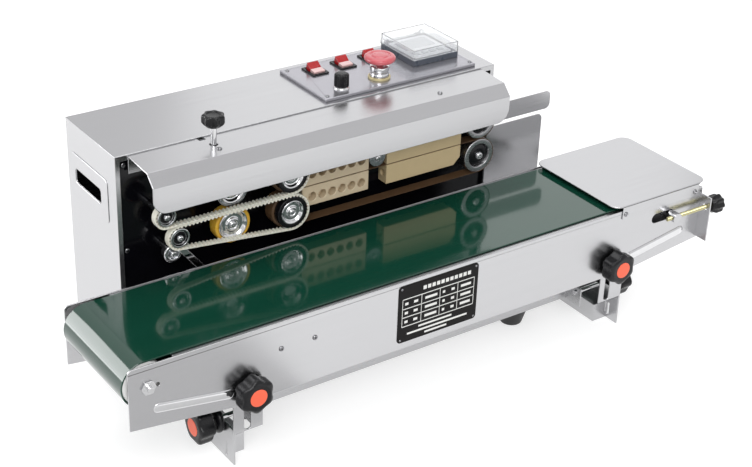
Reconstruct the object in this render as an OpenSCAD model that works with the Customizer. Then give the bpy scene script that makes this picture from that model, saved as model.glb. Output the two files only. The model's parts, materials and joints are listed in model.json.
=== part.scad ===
// Bench-top continuous band sealer: a heat-sealing head in a sheet steel casing, with a belt
// conveyor in front of it that slides in and out and up and down on two clamped arms.
// X runs along the conveyor towards the infeed end, Y from the operator to the back, Z up.
// The origin is on the bench, under the middle of the whole machine.

/* [Conveyor] */
// Length of the two side plates
plate_len = 832; // [800:1:860]
// Overall width over the side plates
conveyor_w = 154.5; // [150:0.5:165]
// Width of the belt
belt_w = 140; // [130:1:144]
// Radius of the bare rollers
roller_r = 25.9; // [24:0.1:27]
// Height of the conveyor above the bench, at the ends of the side plates
plate_z0 = 96; // [92:1:100]
// Height of the top edge of the side plates
plate_z1 = 172; // [170:1:174]

/* [Casing] */
// Length of the casing
casing_len = 537; // [520:1:550]
// Front to back depth of the casing
casing_depth = 127.5; // [120:0.5:140]
// Height of the top of the casing above the bench
casing_z1 = 315; // [312:1:320]
// Space between the conveyor and the casing
head_gap = 39.5; // [38:0.5:44]
// Thickness of the casing sheet
sheet_t = 1.5; // [1:0.1:2]

/* [Sealing head] */
// Height at which the bags are gripped
nip_z = 230; // [228:0.5:232]
// Outer radius of the sealing bands on their wheels
band_r = 23.5; // [22:0.1:24]
// Distance between the two pairs of band wheels
band_span = 289; // [280:1:295]
// Number of vent holes in each cooling block
cooler_holes = 6; // [4:1:6]
// Teeth of the two gears that join the drive wheels
gear_teeth = 22; // [20:1:24]

/* [Controls] */
// Length of the control panel
panel_len = 228; // [220:1:236]
// Depth of the control panel
panel_depth = 105.5; // [100:0.5:110]
// Diameter of the emergency stop head
estop_d = 39.5; // [36:0.5:41]
// Spacing of the three rocker switches
rocker_pitch = 42; // [38:1:44]

/* [Hidden] */
$fn = 48;

// Whole machine: the belt's left edge, the tension knob's right face, the front knobs' faces
// and the plug inlet's back face bound it.
belt_over = 5;
knob_over = 25;
knob_proud = 23;
inlet_proud = 4.5;
half_l = (plate_len + belt_over + knob_over) / 2;
half_w = (knob_proud + conveyor_w + head_gap + casing_depth + inlet_proud) / 2;

// Conveyor
plate_t = 2;
x0 = -half_l + belt_over;
x1 = x0 + plate_len;
yf = -half_w + knob_proud;
yr = yf + conveyor_w;
in_f = yf + plate_t;
in_r = yr - plate_t;
mid_y = (yf + yr) / 2;
belt_y0 = mid_y - belt_w / 2;
belt_y1 = mid_y + belt_w / 2;
belt_t = 1.8;
skin_gap = 0.3;
belt_in_r = roller_r + skin_gap;
drive_x = -half_l + belt_in_r + belt_t;
tail_x = x1 - 56;
roller_z = plate_z1 + 1 - belt_in_r - belt_t;
axle_r = 6;
taper_l = 128;
taper_drop = 15;
knob_z = 100;
knob_xl = x0 + 144.6;
knob_xr = x1 - 150.8;
stud_r = 3;
run_gap = 0.05;

// Casing
cx0 = x0 + 89;
cx1 = cx0 + casing_len;
cy0 = yr + head_gap;
cy1 = cy0 + casing_depth;
deck_z = 60;
panel_y = cy0 + 4.5;
panel_t = 2;
mount_t = 8;
mount_y = panel_y + panel_t;
foot_h = 28;
foot_r = 14;
tray_x0 = -262;
tray_x1 = 234;
tray_y0 = yf + 54.5;

// Sealing head: drive wheels on the left, infeed wheels on the right
drive_wx = x0 + 299;
infeed_wx = drive_wx + band_span;
belt_gap = 0.15;
lower_wz = nip_z - belt_gap - band_r;
upper_wz = nip_z + belt_gap + band_r;
band_t = 0.4;
wheel_r = band_r - band_t - skin_gap;
band_y0 = yr + 12;
band_y1 = band_y0 + 15;
gbelt_y0 = yr + 1.5;
gbelt_y1 = gbelt_y0 + 8.5;
gbelt_t = 2;
emboss_x = x0 + 223;
emboss_r = 23.4;
knurl_r = 21;
upper_guide_x = x0 + 132;
upper_guide_r = 15.2;
lower_guide_x = x0 + 148;
lower_guide_r = 15.6;
idler_x = x0 + 145;
idler_z = nip_z - 41;
idler_r = 11.5;
press_x = drive_wx + 128.6;
press_r = 12;
shaft_r = 6;
stub_r = 4;
infeed_axle_r = 5;
idler_y = gbelt_y1 + 4;

// Controls
ctl_x0 = cx0 + 284;
ctl_y0 = cy0 + 8;
ctl_t = 4;
ctl_z = casing_z1 + ctl_t;
rocker_x0 = ctl_x0 + 36.6;
rocker_y = ctl_y0 + 80;
rocker_w = 24;
rocker_d = 29;
estop_x = ctl_x0 + 95;
estop_y = ctl_y0 + 24;
speed_x = ctl_x0 + 36;
speed_y = ctl_y0 + 20;
lid_x0 = ctl_x0 + 151;
lid_y0 = ctl_y0 + 28;
lid_w = 70;
lid_d = 73;
stem_x = cx0 + 114;
stem_y = yr + 19;
stem_r = 3.5;
top_z = 350;

// ---- Shared shapes -------------------------------------------------------------------------

// A block between two opposite corners
module block(a, b) translate(a) cube(b - a);

// A round bar along X, Y or Z
module bar_x(p, r, l) translate(p) rotate([0, 90, 0]) cylinder(r = r, h = l);
module bar_y(p, r, l) translate(p) rotate([-90, 0, 0]) cylinder(r = r, h = l);
module bar_z(p, r, l) translate(p) cylinder(r = r, h = l);

// A ring along Y
module ring_y(p, ro, ri, l) difference() {
    bar_y(p, ro, l);
    bar_y(p - [0, 1, 0], ri, l + 2);
}

// A flat shape in the XZ plane, given thickness along +Y from y
module slab_y(y, t) translate([0, y + t, 0]) rotate([90, 0, 0]) linear_extrude(t) children();

// A slot with round ends, centred, lying along the first axis
module slot2(l, w) {
    square([l - w, w], center = true);
    for (s = [-1, 1]) translate([s * (l - w) / 2, 0]) circle(d = w);
}

// A rectangle with four round corners
module round_rect(a, b, r) {
    translate([a[0] + r, a[1]]) square([b[0] - a[0] - 2 * r, b[1] - a[1]]);
    translate([a[0], a[1] + r]) square([b[0] - a[0], b[1] - a[1] - 2 * r]);
    for (x = [a[0] + r, b[0] - r], y = [a[1] + r, b[1] - r]) translate([x, y]) circle(r);
}

// The outline of a belt round two pulleys whose centres are at a and b
function tangent(a, ra, b, rb, side) =
    let (d = norm(b - a), dir = atan2(b[1] - a[1], b[0] - a[0]), q = dir + side * acos((ra - rb) / d))
    [a + ra * [cos(q), sin(q)], b + rb * [cos(q), sin(q)]];
module belt_outline(a, ra, b, rb) {
    up = tangent(a, ra, b, rb, 1);
    down = tangent(a, ra, b, rb, -1);
    translate(a) circle(ra);
    translate(b) circle(rb);
    polygon([down[0], down[1], up[1], up[0]]);
}
module belt_loop(a, ra, b, rb, t, y, w) difference() {
    slab_y(y, w) belt_outline(a, ra, b, rb);
    slab_y(y - 1, w + 2) belt_outline(a, ra - t, b, rb - t);
}

// A hand knob outline with round lobes
module lobes(n, r) difference() {
    circle(r);
    for (i = [0:n - 1]) rotate(i * 360 / n) translate([r * 1.12, 0]) circle(r * 0.28);
}

// A spur gear outline with slack teeth, so a pair turns freely
module gear2(n, pitch_r, turn) rotate(turn) {
    m = 2 * pitch_r / n;
    circle(pitch_r - 1.25 * m);
    for (i = [0:n - 1]) rotate(i * 360 / n)
        polygon([[pitch_r - 1.5 * m, -0.95 * m], [pitch_r, -0.6 * m], [pitch_r + 0.8 * m, -0.25 * m],
            [pitch_r + 0.8 * m, 0.25 * m], [pitch_r, 0.6 * m], [pitch_r - 1.5 * m, 0.95 * m]]);
}

// A dome-headed screw whose head faces -Y; its shank is half the head's width
module screw_y(p, r, l) {
    if (l > 0) translate(p) rotate([-90, 0, 0]) cylinder(r = r * 0.5, h = l);
    translate(p) rotate([90, 0, 0]) cylinder(r1 = r, r2 = r * 0.7, h = r * 0.6, $fn = 32);
}
// The same with its head facing +Z
module screw_z(p, r, l) {
    translate(p - [0, 0, l]) cylinder(r = r * 0.5, h = l);
    translate(p) cylinder(r1 = r, r2 = r * 0.7, h = r * 0.6, $fn = 32);
}

// ---- Base and casing -----------------------------------------------------------------------

module base_tray() color("silver") difference() {
    union() {
        block([cx0, cy0, deck_z - 2], [cx1, cy1, deck_z]);
        block([tray_x0, tray_y0, deck_z - 2], [tray_x1, cy1, deck_z]);
        block([tray_x0, tray_y0, foot_h], [tray_x1, tray_y0 + 2, deck_z]);
        block([tray_x0, cy1 - 12, foot_h], [tray_x1, cy1 - 10, deck_z]);
        for (x = [tray_x0, tray_x1 - 2]) block([x, tray_y0, foot_h], [x + 2, cy1 - 10, deck_z]);
        block([tray_x0, tray_y0, foot_h], [tray_x1, tray_y0 + 60, foot_h + 2]);
        block([tray_x0, cy1 - 70, foot_h], [tray_x1, cy1 - 10, foot_h + 2]);
        for (x = [tray_x0, tray_x1 - 2])
            block([x, side_knob_y - 10, foot_h], [x + 2, tray_y0 + 1, arm_z1 + 6]);
    }
    for (x = [tray_x0 - 1, tray_x1 - 3]) bar_x([x, side_knob_y, side_knob_z], stud_r + run_gap, 4);
}

foot_places = [for (x = [tray_x0 + 29, tray_x1 - 68], y = [tray_y0 + 28, cy1 - 40]) [x, y]];

module rubber_feet() color("#1c1c1c") for (p = foot_places) difference() {
    translate([p[0], p[1], 0]) cylinder(r1 = foot_r, r2 = foot_r + 8, h = foot_h);
    bar_z([p[0], p[1], -1], 7, 6);
}

handle_y0 = cy0 + 39.5;
handle_y1 = cy0 + 105.5;
handle_z0 = casing_z1 - 75;
handle_z1 = casing_z1 - 57;

module casing() color("gainsboro") difference() {
    union() {
        block([cx0, cy0, casing_z1 - sheet_t], [cx1, cy1, casing_z1]);
        for (x = [cx0, cx1 - sheet_t]) block([x, cy0, deck_z], [x + sheet_t, cy1, casing_z1]);
        block([cx0, cy0, casing_z1 - 7], [cx1, cy0 + sheet_t, casing_z1]);
        for (x = [cx0, cx1 - 6]) block([x, cy0, deck_z], [x + 6, cy0 + sheet_t, casing_z1]);
    }
    translate([cx0 - 1, 0, 0]) rotate([90, 0, 90]) linear_extrude(casing_len + 2)
        round_rect([handle_y0, handle_z0], [handle_y1, handle_z1], 4);
    block([ctl_x0 + 12, ctl_y0 + 8, casing_z1 - 3],
        [ctl_x0 + panel_len - 12, ctl_y0 + panel_depth - 8, casing_z1 + 1]);
}

fan_x = cx0 + 150;
fan_z = 190;
fan_r = 39;
inlet_x = cx1 - 70;
inlet_z = 100;

module rear_cover() color("lightgray") difference() {
    block([cx0 + sheet_t, cy1 - sheet_t, deck_z], [cx1 - sheet_t, cy1, casing_z1 - sheet_t]);
    bar_y([fan_x, cy1 - 5, fan_z], fan_r - 1, 10);
    for (p = rear_screws) bar_y([p[0], cy1 - 5, p[1]], head_r / 2, 10);
    block([inlet_x - 14, cy1 - 5, inlet_z - 10], [inlet_x + 14, cy1 + 5, inlet_z + 10]);
    for (i = [0:5]) translate([fan_x + 160 + i * 14, cy1 + 1, 190]) rotate([90, 90, 0])
        linear_extrude(5) slot2(60, 5);
}

// Screws of the control panel, as (x, y)
ctl_screws = [for (x = [ctl_x0 + 7, ctl_x0 + panel_len - 4], y = [ctl_y0 + 7, ctl_y0 + panel_depth - 7])
    [x, y]];

// Screws of the front panel and the rear cover, as (x, z), with their head radius
head_r = 3.2;
front_screws = [for (x = [cx0 + 12, cx0 + 222, cx1 - 12]) [x, casing_z1 - 14],
    for (x = [cx0 + 12, cx1 - 12], z = [80, casing_z1 - 123]) [x, z]];
rear_screws = [for (x = [cx0 + 12, cx1 - 12], z = [80, casing_z1 - 14]) [x, z]];

module front_panel() color("#16161a") difference() {
    block([cx0 + sheet_t, panel_y, deck_z], [cx1 - sheet_t, panel_y + panel_t, casing_z1 - sheet_t]);
    for (p = front_screws) bar_y([p[0], panel_y - 1, p[1]], head_r / 2, panel_t + 2);
    for (p = shaft_places) bar_y([p[0], panel_y - 1, p[1]], 10.05, panel_t + 2);
    for (p = stub_places) bar_y([p[0], panel_y - 1, p[1]], p[2] + 0.02, panel_t + 2);
}

shaft_places = [[drive_wx, lower_wz], [drive_wx, upper_wz],
    [emboss_x, nip_z - belt_gap - emboss_r], [emboss_x, nip_z + belt_gap + knurl_r]];
// Fixed axles, as (x, z), radius and the Y of their front end
stub_places = [[upper_guide_x, nip_z + belt_gap + upper_guide_r, stub_r, gbelt_y0 - 0.5],
    [lower_guide_x, nip_z - belt_gap - lower_guide_r, stub_r, gbelt_y0 - 0.5],
    [idler_x, idler_z, stub_r, idler_y - 0.5],
    [press_x, nip_z + belt_gap + band_t + skin_gap + press_r, stub_r, band_y0 - 0.5],
    [infeed_wx, lower_wz, infeed_axle_r, band_y0 - 0.5],
    [infeed_wx, upper_wz, infeed_axle_r, band_y0 - 0.5]];

module mounting_plate() color("slategray") difference() {
    block([cx0 + 20, mount_y, 150], [cx1 - 12, mount_y + mount_t, 292]);
    for (p = shaft_places) bar_y([p[0], mount_y - 1, p[1]], 10.05, mount_t + 2);
    for (p = stub_places) bar_y([p[0], mount_y - 1, p[1]], p[2] + 0.02, mount_t + 2);
}

module bearing_bushes() color("darkgoldenrod") for (p = shaft_places)
    ring_y([p[0], panel_y, p[1]], 10, shaft_r + run_gap, panel_t + mount_t + 1.5);

module panel_screws() color("silver") {
    for (p = front_screws) screw_y([p[0], panel_y, p[1]], head_r, panel_t);
    for (p = ctl_screws) screw_z([p[0], p[1], ctl_z], 2.6, 3.5);
    for (x = cover_screw_x) screw_z([x, cover_screw_y, cover_top_z - 1.3], head_r, 2);
    for (p = rear_screws) translate([p[0], cy1, p[1]]) rotate([0, 0, 180])
        screw_y([0, 0, 0], head_r, sheet_t);
}

cover_x0 = cx0 + 15.7;
cover_x1 = cx0 + 516;
cover_top_z = casing_z1 - 1.6;
cover_screw_y = yr + 6;
cover_screw_x = [cx0 + 114, cx0 + 425];

// Outline of the shroud across the machine, as (y, z)
module cover_section() {
    polygon([[cy0 - 0.2, cover_top_z], [yr - 7.3, cover_top_z - 2], [yr - 20.7, cover_top_z - 15.7],
        [yr - 20.7, cover_top_z - 49.7], [yr - 19.2, cover_top_z - 49.7], [yr - 19.2, cover_top_z - 16.3],
        [yr - 6.7, cover_top_z - 3.5], [cy0 - 1.7, cover_top_z - 1.5], [cy0 - 1.7, cover_top_z - 22],
        [cy0 - 0.2, cover_top_z - 22]]);
}
module guard_cover() color("whitesmoke") difference() {
    intersection() {
        translate([cover_x0, 0, 0]) rotate([90, 0, 90]) linear_extrude(cover_x1 - cover_x0) cover_section();
        slab_y(yr - 40, 100) {
            translate([cover_x0, cover_top_z - 30]) square([cover_x1 - cover_x0, 40]);
            round_rect([cover_x0, cover_top_z - 49.7], [cover_x1, cover_top_z - 2], 18);
        }
    }
    bar_z([stem_x, stem_y, cover_top_z - 6], 5, 8);
    block([stem_x - 10, cy0 - 6, cover_top_z - 3], [stem_x - 2, cy0, cover_top_z + 1]);
    for (x = cover_screw_x) bar_z([x, cover_screw_y, cover_top_z - 6], head_r / 2, 8);
}

module control_panel() color("lightsteelblue") difference() {
    block([ctl_x0, ctl_y0, casing_z1], [ctl_x0 + panel_len, ctl_y0 + panel_depth, ctl_z]);
    for (i = [0:2]) translate([rocker_x0 + i * rocker_pitch, rocker_y, ctl_z])
        cube([rocker_w - 4, rocker_d - 4, 20], center = true);
    bar_z([estop_x, estop_y, casing_z1 - 1], 8, ctl_t + 2);
    bar_z([speed_x, speed_y, casing_z1 - 1], 3.5, ctl_t + 2);
    for (p = ctl_screws) bar_z([p[0], p[1], casing_z1 - 1], 1.3, ctl_t + 2);
}

module control_collars() color("dimgray") {
    for (i = [0:2]) translate([rocker_x0 + i * rocker_pitch, rocker_y, ctl_z]) difference() {
        union() {
            translate([-rocker_w / 2, -rocker_d / 2, 0]) cube([rocker_w, rocker_d, 2]);
            translate([-rocker_w / 2 + 2.2, -rocker_d / 2 + 2.2, -22])
                cube([rocker_w - 4.4, rocker_d - 4.4, 23]);
        }
        translate([-rocker_w / 2 + 3.5, -rocker_d / 2 + 3.5, -20]) cube([rocker_w - 7, rocker_d - 7, 30]);
        bar_x([-pivot_l / 2 - 0.1, 0, -pivot_drop], pivot_r + run_gap, pivot_l + 0.2);
    }
    difference() {
        union() {
            bar_z([estop_x, estop_y, ctl_z], 13.5, 3);
            bar_z([estop_x, estop_y, ctl_z], 12, 16);
            bar_z([estop_x, estop_y, ctl_z - 30], 7.8, 31);
        }
        bar_z([estop_x, estop_y, ctl_z - 26], 5.05, 60);
    }
    difference() {
        union() {
            bar_z([speed_x, speed_y, ctl_z], 6.5, 3);
            bar_z([speed_x, speed_y, ctl_z - 20], 3.4, 21);
            bar_z([speed_x, speed_y, ctl_z - 22], 10, 14);
        }
        bar_z([speed_x, speed_y, ctl_z - 16], 2.05, 30);
    }
}

module controller_base() color("#39404c") difference() {
    union() {
        block([lid_x0, lid_y0, ctl_z], [lid_x0 + lid_w, lid_y0 + lid_d, ctl_z + 8]);
        for (x = [lid_x0 + 8, lid_x0 + lid_w - 14]) {
            block([x, lid_y1 - 0.5, ctl_z + 2], [x + 6, lid_y1 + 5, ctl_z + 8]);
            block([x, lid_y1 + 1, ctl_z + 7], [x + 6, lid_y1 + 5, ctl_z + 9.2]);
        }
    }
    bar_x([lid_x0 - 1, lid_y1 + hinge_off, ctl_z + hinge_up], 1.55, lid_w + 2);
}
lid_y1 = lid_y0 + lid_d;
hinge_off = 3;
hinge_up = 7;

// Clear lid with its own hinge pin and lugs
module controller_lid() color("#dfe8ee", 0.5) {
    z0 = ctl_z + 8.4;
    z1 = ctl_z + 22;
    difference() {
        block([lid_x0, lid_y0, z0], [lid_x0 + lid_w, lid_y0 + lid_d, z1]);
        block([lid_x0 + 1.5, lid_y0 + 1.5, z0 - 1], [lid_x0 + lid_w - 1.5, lid_y0 + lid_d - 1.5, z1 - 1.5]);
    }
    bar_x([lid_x0 + 2, lid_y1 + hinge_off, ctl_z + hinge_up], 1.5, lid_w - 4);
    for (x = [lid_x0 + 2, lid_x0 + lid_w - 7]) {
        block([x, lid_y1 - 0.5, z0], [x + 5, lid_y1 + 2, ctl_z + 12]);
        block([x, lid_y1 + 1.3, ctl_z + 5.6], [x + 5, lid_y1 + hinge_off + 1.4, ctl_z + 12]);
    }
}

// ---- Drive, fan and power ------------------------------------------------------------------

gear_y = mount_y + mount_t + 4;
gear_w = 9;
motor_y = gear_y + gear_w + 4;

module main_motor() color("#4b5258") difference() {
    union() {
        block([drive_wx - 34, motor_y, lower_wz - 34], [drive_wx + 34, motor_y + 28, lower_wz + 34]);
        bar_y([drive_wx, motor_y + 27.5, lower_wz], 30, 36);
        block([drive_wx - 25, motor_y + 5, deck_z], [drive_wx + 25, motor_y + 70, deck_z + 5]);
        for (x = [drive_wx - 25, drive_wx + 20])
            block([x, motor_y + 5, deck_z + 4], [x + 5, motor_y + 25, lower_wz - 33]);
    }
    bar_y([drive_wx, motor_y - 1, lower_wz], shaft_r + run_gap, 12);
}

module fan_frame() color("#202225") difference() {
    block([fan_x - 42, cy1 - 27.5, fan_z - 42], [fan_x + 42, cy1 - sheet_t, fan_z + 42]);
    bar_y([fan_x, cy1 - 24, fan_z], fan_r, 30);
    bar_y([fan_x, cy1 - 30, fan_z], 3.05, 10);
    for (a = [0:45:315]) translate([fan_x, 0, fan_z]) rotate([0, a, 0])
        bar_y([24, cy1 - 30, 0], 6.5, 10);
}

module fan_rotor() color("#2c2f33") {
    bar_y([fan_x, cy1 - 21, fan_z], 17, 16);
    bar_y([fan_x, cy1 - 27, fan_z], 3, 7);
    for (i = [0:6]) translate([fan_x, 0, fan_z]) rotate([0, i * 360 / 7, 0]) translate([16, cy1 - 10, 0])
        rotate([35, 0, 0]) cube([20.5, 2, 14]);
}

module power_inlet() color("#1b1b1b") difference() {
    union() {
        block([inlet_x - 20, cy1, inlet_z - 14], [inlet_x + 20, cy1 + inlet_proud - 1.5, inlet_z + 14]);
        block([inlet_x - 13.8, cy1 - 22, inlet_z - 9.8], [inlet_x + 13.8, cy1 + inlet_proud, inlet_z + 9.8]);
    }
    block([inlet_x - 11.5, cy1 - 16, inlet_z - 7.5], [inlet_x + 11.5, cy1 + 10, inlet_z + 7.5]);
}

// ---- Sealing head --------------------------------------------------------------------------

block_y0 = band_y0 - 1;
block_y1 = band_y1 + 1;
heater_x0 = drive_wx + 142;
heater_x1 = drive_wx + 257;
cooler_x0 = drive_wx + 19;
cooler_x1 = drive_wx + 115;
jaw_gap = 0.62;
jaw_h = 26;

// A block with its support arms running back to the panel. side is 1 above the nip, -1 below
module jaw(xa, xb, side) {
    za = nip_z + side * jaw_gap;
    zb = nip_z + side * (jaw_gap + jaw_h);
    block([xa, block_y0, min(za, zb)], [xb, block_y1, max(za, zb)]);
    zc = nip_z + side * 14;
    for (x = [xa + 12, xb - 24]) block([x, block_y1 - 1, zc - 5], [x + 12, panel_y, zc + 5]);
}

module heater_blocks() color("#c9a869") for (side = [-1, 1]) difference() {
    jaw(heater_x0, heater_x1, side);
    bar_x([heater_x0 - 1, (block_y0 + block_y1) / 2, nip_z + side * 14], 4, 60);
    translate([heater_x1, 0, nip_z + side * (jaw_gap + jaw_h)]) rotate([0, 45, 0])
        cube([14, 100, 14], center = true);
}

module cooler_blocks() color("#f3e6c0") for (side = [-1, 1]) difference() {
    jaw(cooler_x0, cooler_x1, side);
    for (i = [0:cooler_holes - 1])
        bar_y([cooler_x0 + 14.5 + i * 14.2, block_y0 - 1, nip_z + side * 15], 5.6, 12);
    translate([cooler_x0, 0, nip_z + side * (jaw_gap + jaw_h)]) rotate([0, 45, 0])
        cube([16, 100, 16], center = true);
    bar_y([drive_wx, block_y0 - 1, nip_z + side * (belt_gap + band_r)], band_r + 0.6, 20);
}

module seal_bands() color("#6b4a2a") for (z = [lower_wz, upper_wz])
    belt_loop([drive_wx, z], band_r, [infeed_wx, z], band_r, band_t, band_y0, band_y1 - band_y0);

module guide_belts() color("#e8e6d0") {
    belt_loop([upper_guide_x, nip_z + belt_gap + upper_guide_r], upper_guide_r,
        [drive_wx, upper_wz], band_r, gbelt_t, gbelt_y0, gbelt_y1 - gbelt_y0);
    belt_loop([lower_guide_x, nip_z - belt_gap - lower_guide_r], lower_guide_r,
        [drive_wx, lower_wz], band_r, gbelt_t, gbelt_y0, gbelt_y1 - gbelt_y0);
}

module infeed_guides() color("gainsboro") slab_y(cy0 - sheet_t, sheet_t) {
    round_rect([cx1 - 6, nip_z - 110], [cx1 + 88, nip_z - 2.5], 8);
    round_rect([cx1 - 6, nip_z + 2.5], [cx1 + 100, nip_z + 28], 8);
}

// The diagonal bar under the guide pulleys and the bracket that the pressure screw turns in
bracket_z = cover_top_z - 32;
bar_y0 = gbelt_y1 + 1.4;
module head_brackets() color("silver") {
    translate([lower_guide_x + 8.5, bar_y0, nip_z - 38.5]) rotate([0, 51.3, 0])
        translate([-16, 0, -4]) cube([62, 2.2, 8]);
    bar_y([lower_guide_x + 36, bar_y0 + 2, nip_z - 73], 3.5, panel_y - bar_y0 - 2);
    difference() {
        block([stem_x - 12, stem_y - 9, bracket_z], [stem_x + 12, panel_y, bracket_z + 8]);
        bar_z([stem_x, stem_y, bracket_z - 1], stem_r + run_gap, 10);
    }
}

module wheel_axles() color("silver") for (p = stub_places) {
    bar_y([p[0], p[3] - 1, p[1]], p[2], mount_y + mount_t + 1 - p[3]);
    bar_y([p[0], p[3] - 2, p[1]], p[2] + 2, 2);
}

// A wheel that turns on a fixed axle
module free_wheel(x, z, r, bore, ya, yb) difference() {
    bar_y([x, ya, z], r, yb - ya);
    bar_y([x, ya - 1, z], bore + run_gap, yb - ya + 2);
}

// Drive wheel: a grooved front part for the guide belt, a band rim behind it and a shaft
module drive_wheel(z) color("#24262a") difference() {
    union() {
        bar_y([drive_wx, gbelt_y0 + 0.3, z], band_r - gbelt_t - skin_gap, gbelt_y1 - gbelt_y0 + 1.4);
        bar_y([drive_wx, gbelt_y1 + 1, z], wheel_r, band_y1 - gbelt_y1 - 1);
        bar_y([drive_wx, band_y1 - 1, z], shaft_r, gear_y + 1 - band_y1);
    }
    bar_y([drive_wx, gbelt_y0 - 1, z], 15, 5);
}
module lower_drive_wheel() drive_wheel(lower_wz);
module upper_drive_wheel() drive_wheel(upper_wz);

gear_pitch_r = (upper_wz - lower_wz) / 2;
module drive_gear(z, turn, tail) color("#8d9298") {
    slab_y(gear_y, gear_w) translate([drive_wx, z]) gear2(gear_teeth, gear_pitch_r, turn);
    bar_y([drive_wx, gear_y + gear_w - 1, z], shaft_r, tail);
}
module lower_drive_gear() drive_gear(lower_wz, 90, 12);
module upper_drive_gear() drive_gear(upper_wz, 90 + 180 / gear_teeth, 3);

module emboss_wheel(z, r) difference() {
    union() {
        bar_y([emboss_x, band_y0, z], r, 15);
        bar_y([emboss_x, band_y0 + 14, z], shaft_r, mount_y + mount_t - band_y0 - 12);
    }
    bar_y([emboss_x, band_y0 - 1, z], 14, 4);
}
module lower_emboss_wheel() color("#d6a21e") emboss_wheel(nip_z - belt_gap - emboss_r, emboss_r);
module upper_emboss_wheel() color("silver") emboss_wheel(nip_z + belt_gap + knurl_r, knurl_r);

module lower_infeed_wheel() color("#b9bcc0")
    free_wheel(infeed_wx, lower_wz, wheel_r, infeed_axle_r, band_y0, band_y1);
module upper_infeed_wheel() color("#b9bcc0")
    free_wheel(infeed_wx, upper_wz, wheel_r, infeed_axle_r, band_y0, band_y1);
module upper_guide_pulley() color("#3b3e42") free_wheel(upper_guide_x, nip_z + belt_gap + upper_guide_r,
    upper_guide_r - gbelt_t - skin_gap, stub_r, gbelt_y0, gbelt_y1 + 1);
module lower_guide_pulley() color("#3b3e42") free_wheel(lower_guide_x, nip_z - belt_gap - lower_guide_r,
    lower_guide_r - gbelt_t - skin_gap, stub_r, gbelt_y0, gbelt_y1 + 1);
module idler_ring() color("#c8cacc") free_wheel(idler_x, idler_z, idler_r, stub_r, idler_y, idler_y + 10);
module press_wheel() color("#aeb2b6")
    free_wheel(press_x, nip_z + belt_gap + band_t + skin_gap + press_r, press_r, stub_r, band_y0, band_y1);

// ---- Hand controls -------------------------------------------------------------------------

module pressure_knob() color("#161616") difference() {
    union() {
        bar_z([stem_x, stem_y, bracket_z - 4], stem_r, 64);
        translate([stem_x, stem_y, top_z - 15]) cylinder(r1 = 9.5, r2 = 11, h = 7);
        translate([stem_x, stem_y, top_z - 9]) linear_extrude(9) lobes(7, 13.8);
    }
    bar_z([stem_x, stem_y, top_z - 3], 8, 5);
}

module speed_knob() color("#161616") {
    translate([speed_x, speed_y, ctl_z + 3.2]) linear_extrude(17) difference() {
        circle(9.3);
        for (i = [0:11]) rotate(i * 30) translate([9.9, 0]) circle(1.2, $fn = 24);
    }
    bar_z([speed_x, speed_y, ctl_z - 12], 2, 16);
}

module estop_button() color("#e8555a") {
    bar_z([estop_x, estop_y, ctl_z - 20], 5, 42);
    translate([estop_x, estop_y, top_z - 9]) cylinder(r = estop_d / 2, h = 6);
    translate([estop_x, estop_y, top_z - 3.001]) cylinder(r1 = estop_d / 2, r2 = estop_d / 2 - 6, h = 3.001);
}

// Each rocker turns on a pin in the sides of its housing, just under the panel's face
pivot_drop = 1;
pivot_r = 1.2;
pivot_l = rocker_w - 5.6;
rocker_tilt = 11;
module rocker(i) color("#b40f1c") translate([rocker_x0 + i * rocker_pitch, rocker_y, ctl_z - pivot_drop])
    rotate([rocker_tilt, 0, 0]) {
        l = rocker_d / 2 - 4.6;
        translate([-rocker_w / 2 + 4, 0, 0]) rotate([90, 0, 90]) linear_extrude(rocker_w - 8)
            polygon([[-l, 2.5], [-2, -3], [2, -3], [l, 2.5], [l - 0.5, 10], [0, 5.6], [0.5 - l, 6.6]]);
        bar_x([-pivot_l / 2, 0, 0], pivot_r, pivot_l);
    }
module rocker_1() rocker(0);
module rocker_2() rocker(1);
module rocker_3() rocker(2);

// ---- Conveyor carriage ---------------------------------------------------------------------

arm_w = 38;
arm_box_w = 25;
arm_box_z = 26;
arm_z0 = 0.8;
arm_z1 = 48.5;
side_knob_y = yf + 35.5;
side_knob_z = 46;
arm_travel = 40;
fork_y = yf + plate_t + 0.3;
fork_top = 126;

// Outer plate with the fork bent off its front end, and a closed box inside it. side is -1 for the
// left arm and 1 for the right arm; xo is the outer face
module arm(xo, side) color("silver") {
    xi = xo - side * arm_w;
    xb = xo - side * arm_box_w;
    y2 = in_r + 20;
    difference() {
        union() {
            block([min(xo, xo - side * 2), fork_y, arm_z0], [max(xo, xo - side * 2), y2, arm_z1]);
            block([min(xb, xo), arm_box_y, arm_box_z - 2], [max(xb, xo), y2, arm_box_z]);
            block([min(xb, xb + side * 2), arm_box_y, arm_z0], [max(xb, xb + side * 2), y2, arm_box_z]);
            block([min(xb, xo), arm_box_y, arm_z0], [max(xb, xo), arm_box_y + 2, arm_box_z]);
        }
        translate([xo, side_knob_y + arm_travel / 2, side_knob_z]) rotate([90, 0, 90])
            translate([0, 0, -5]) linear_extrude(10) slot2(arm_travel + 8, 6.6);
        translate([xo, fork_y + 17, 15]) rotate([90, 90, 90]) translate([0, 0, -3])
            linear_extrude(6) slot2(18, 3);
    }
    clamp_x = side < 0 ? knob_xl : knob_xr;
    difference() {
        block([min(xo, xi), fork_y, arm_z1 - 6], [max(xo, xi), fork_y + 2, fork_top]);
        block([clamp_x - 4.3, fork_y - 1, arm_z1], [clamp_x + 4.3, fork_y + 3, fork_top - 12]);
        translate([clamp_x, fork_y - 1, arm_z1]) rotate([-90, 0, 0]) cylinder(r = 4.3, h = 4);
    }
}
arm_box_y = fork_y + 20;
arm_lx = knob_xl - 18;
arm_rx = knob_xr + 25.3;
module left_arm() arm(arm_lx, -1);
module right_arm() arm(arm_rx, 1);

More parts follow.
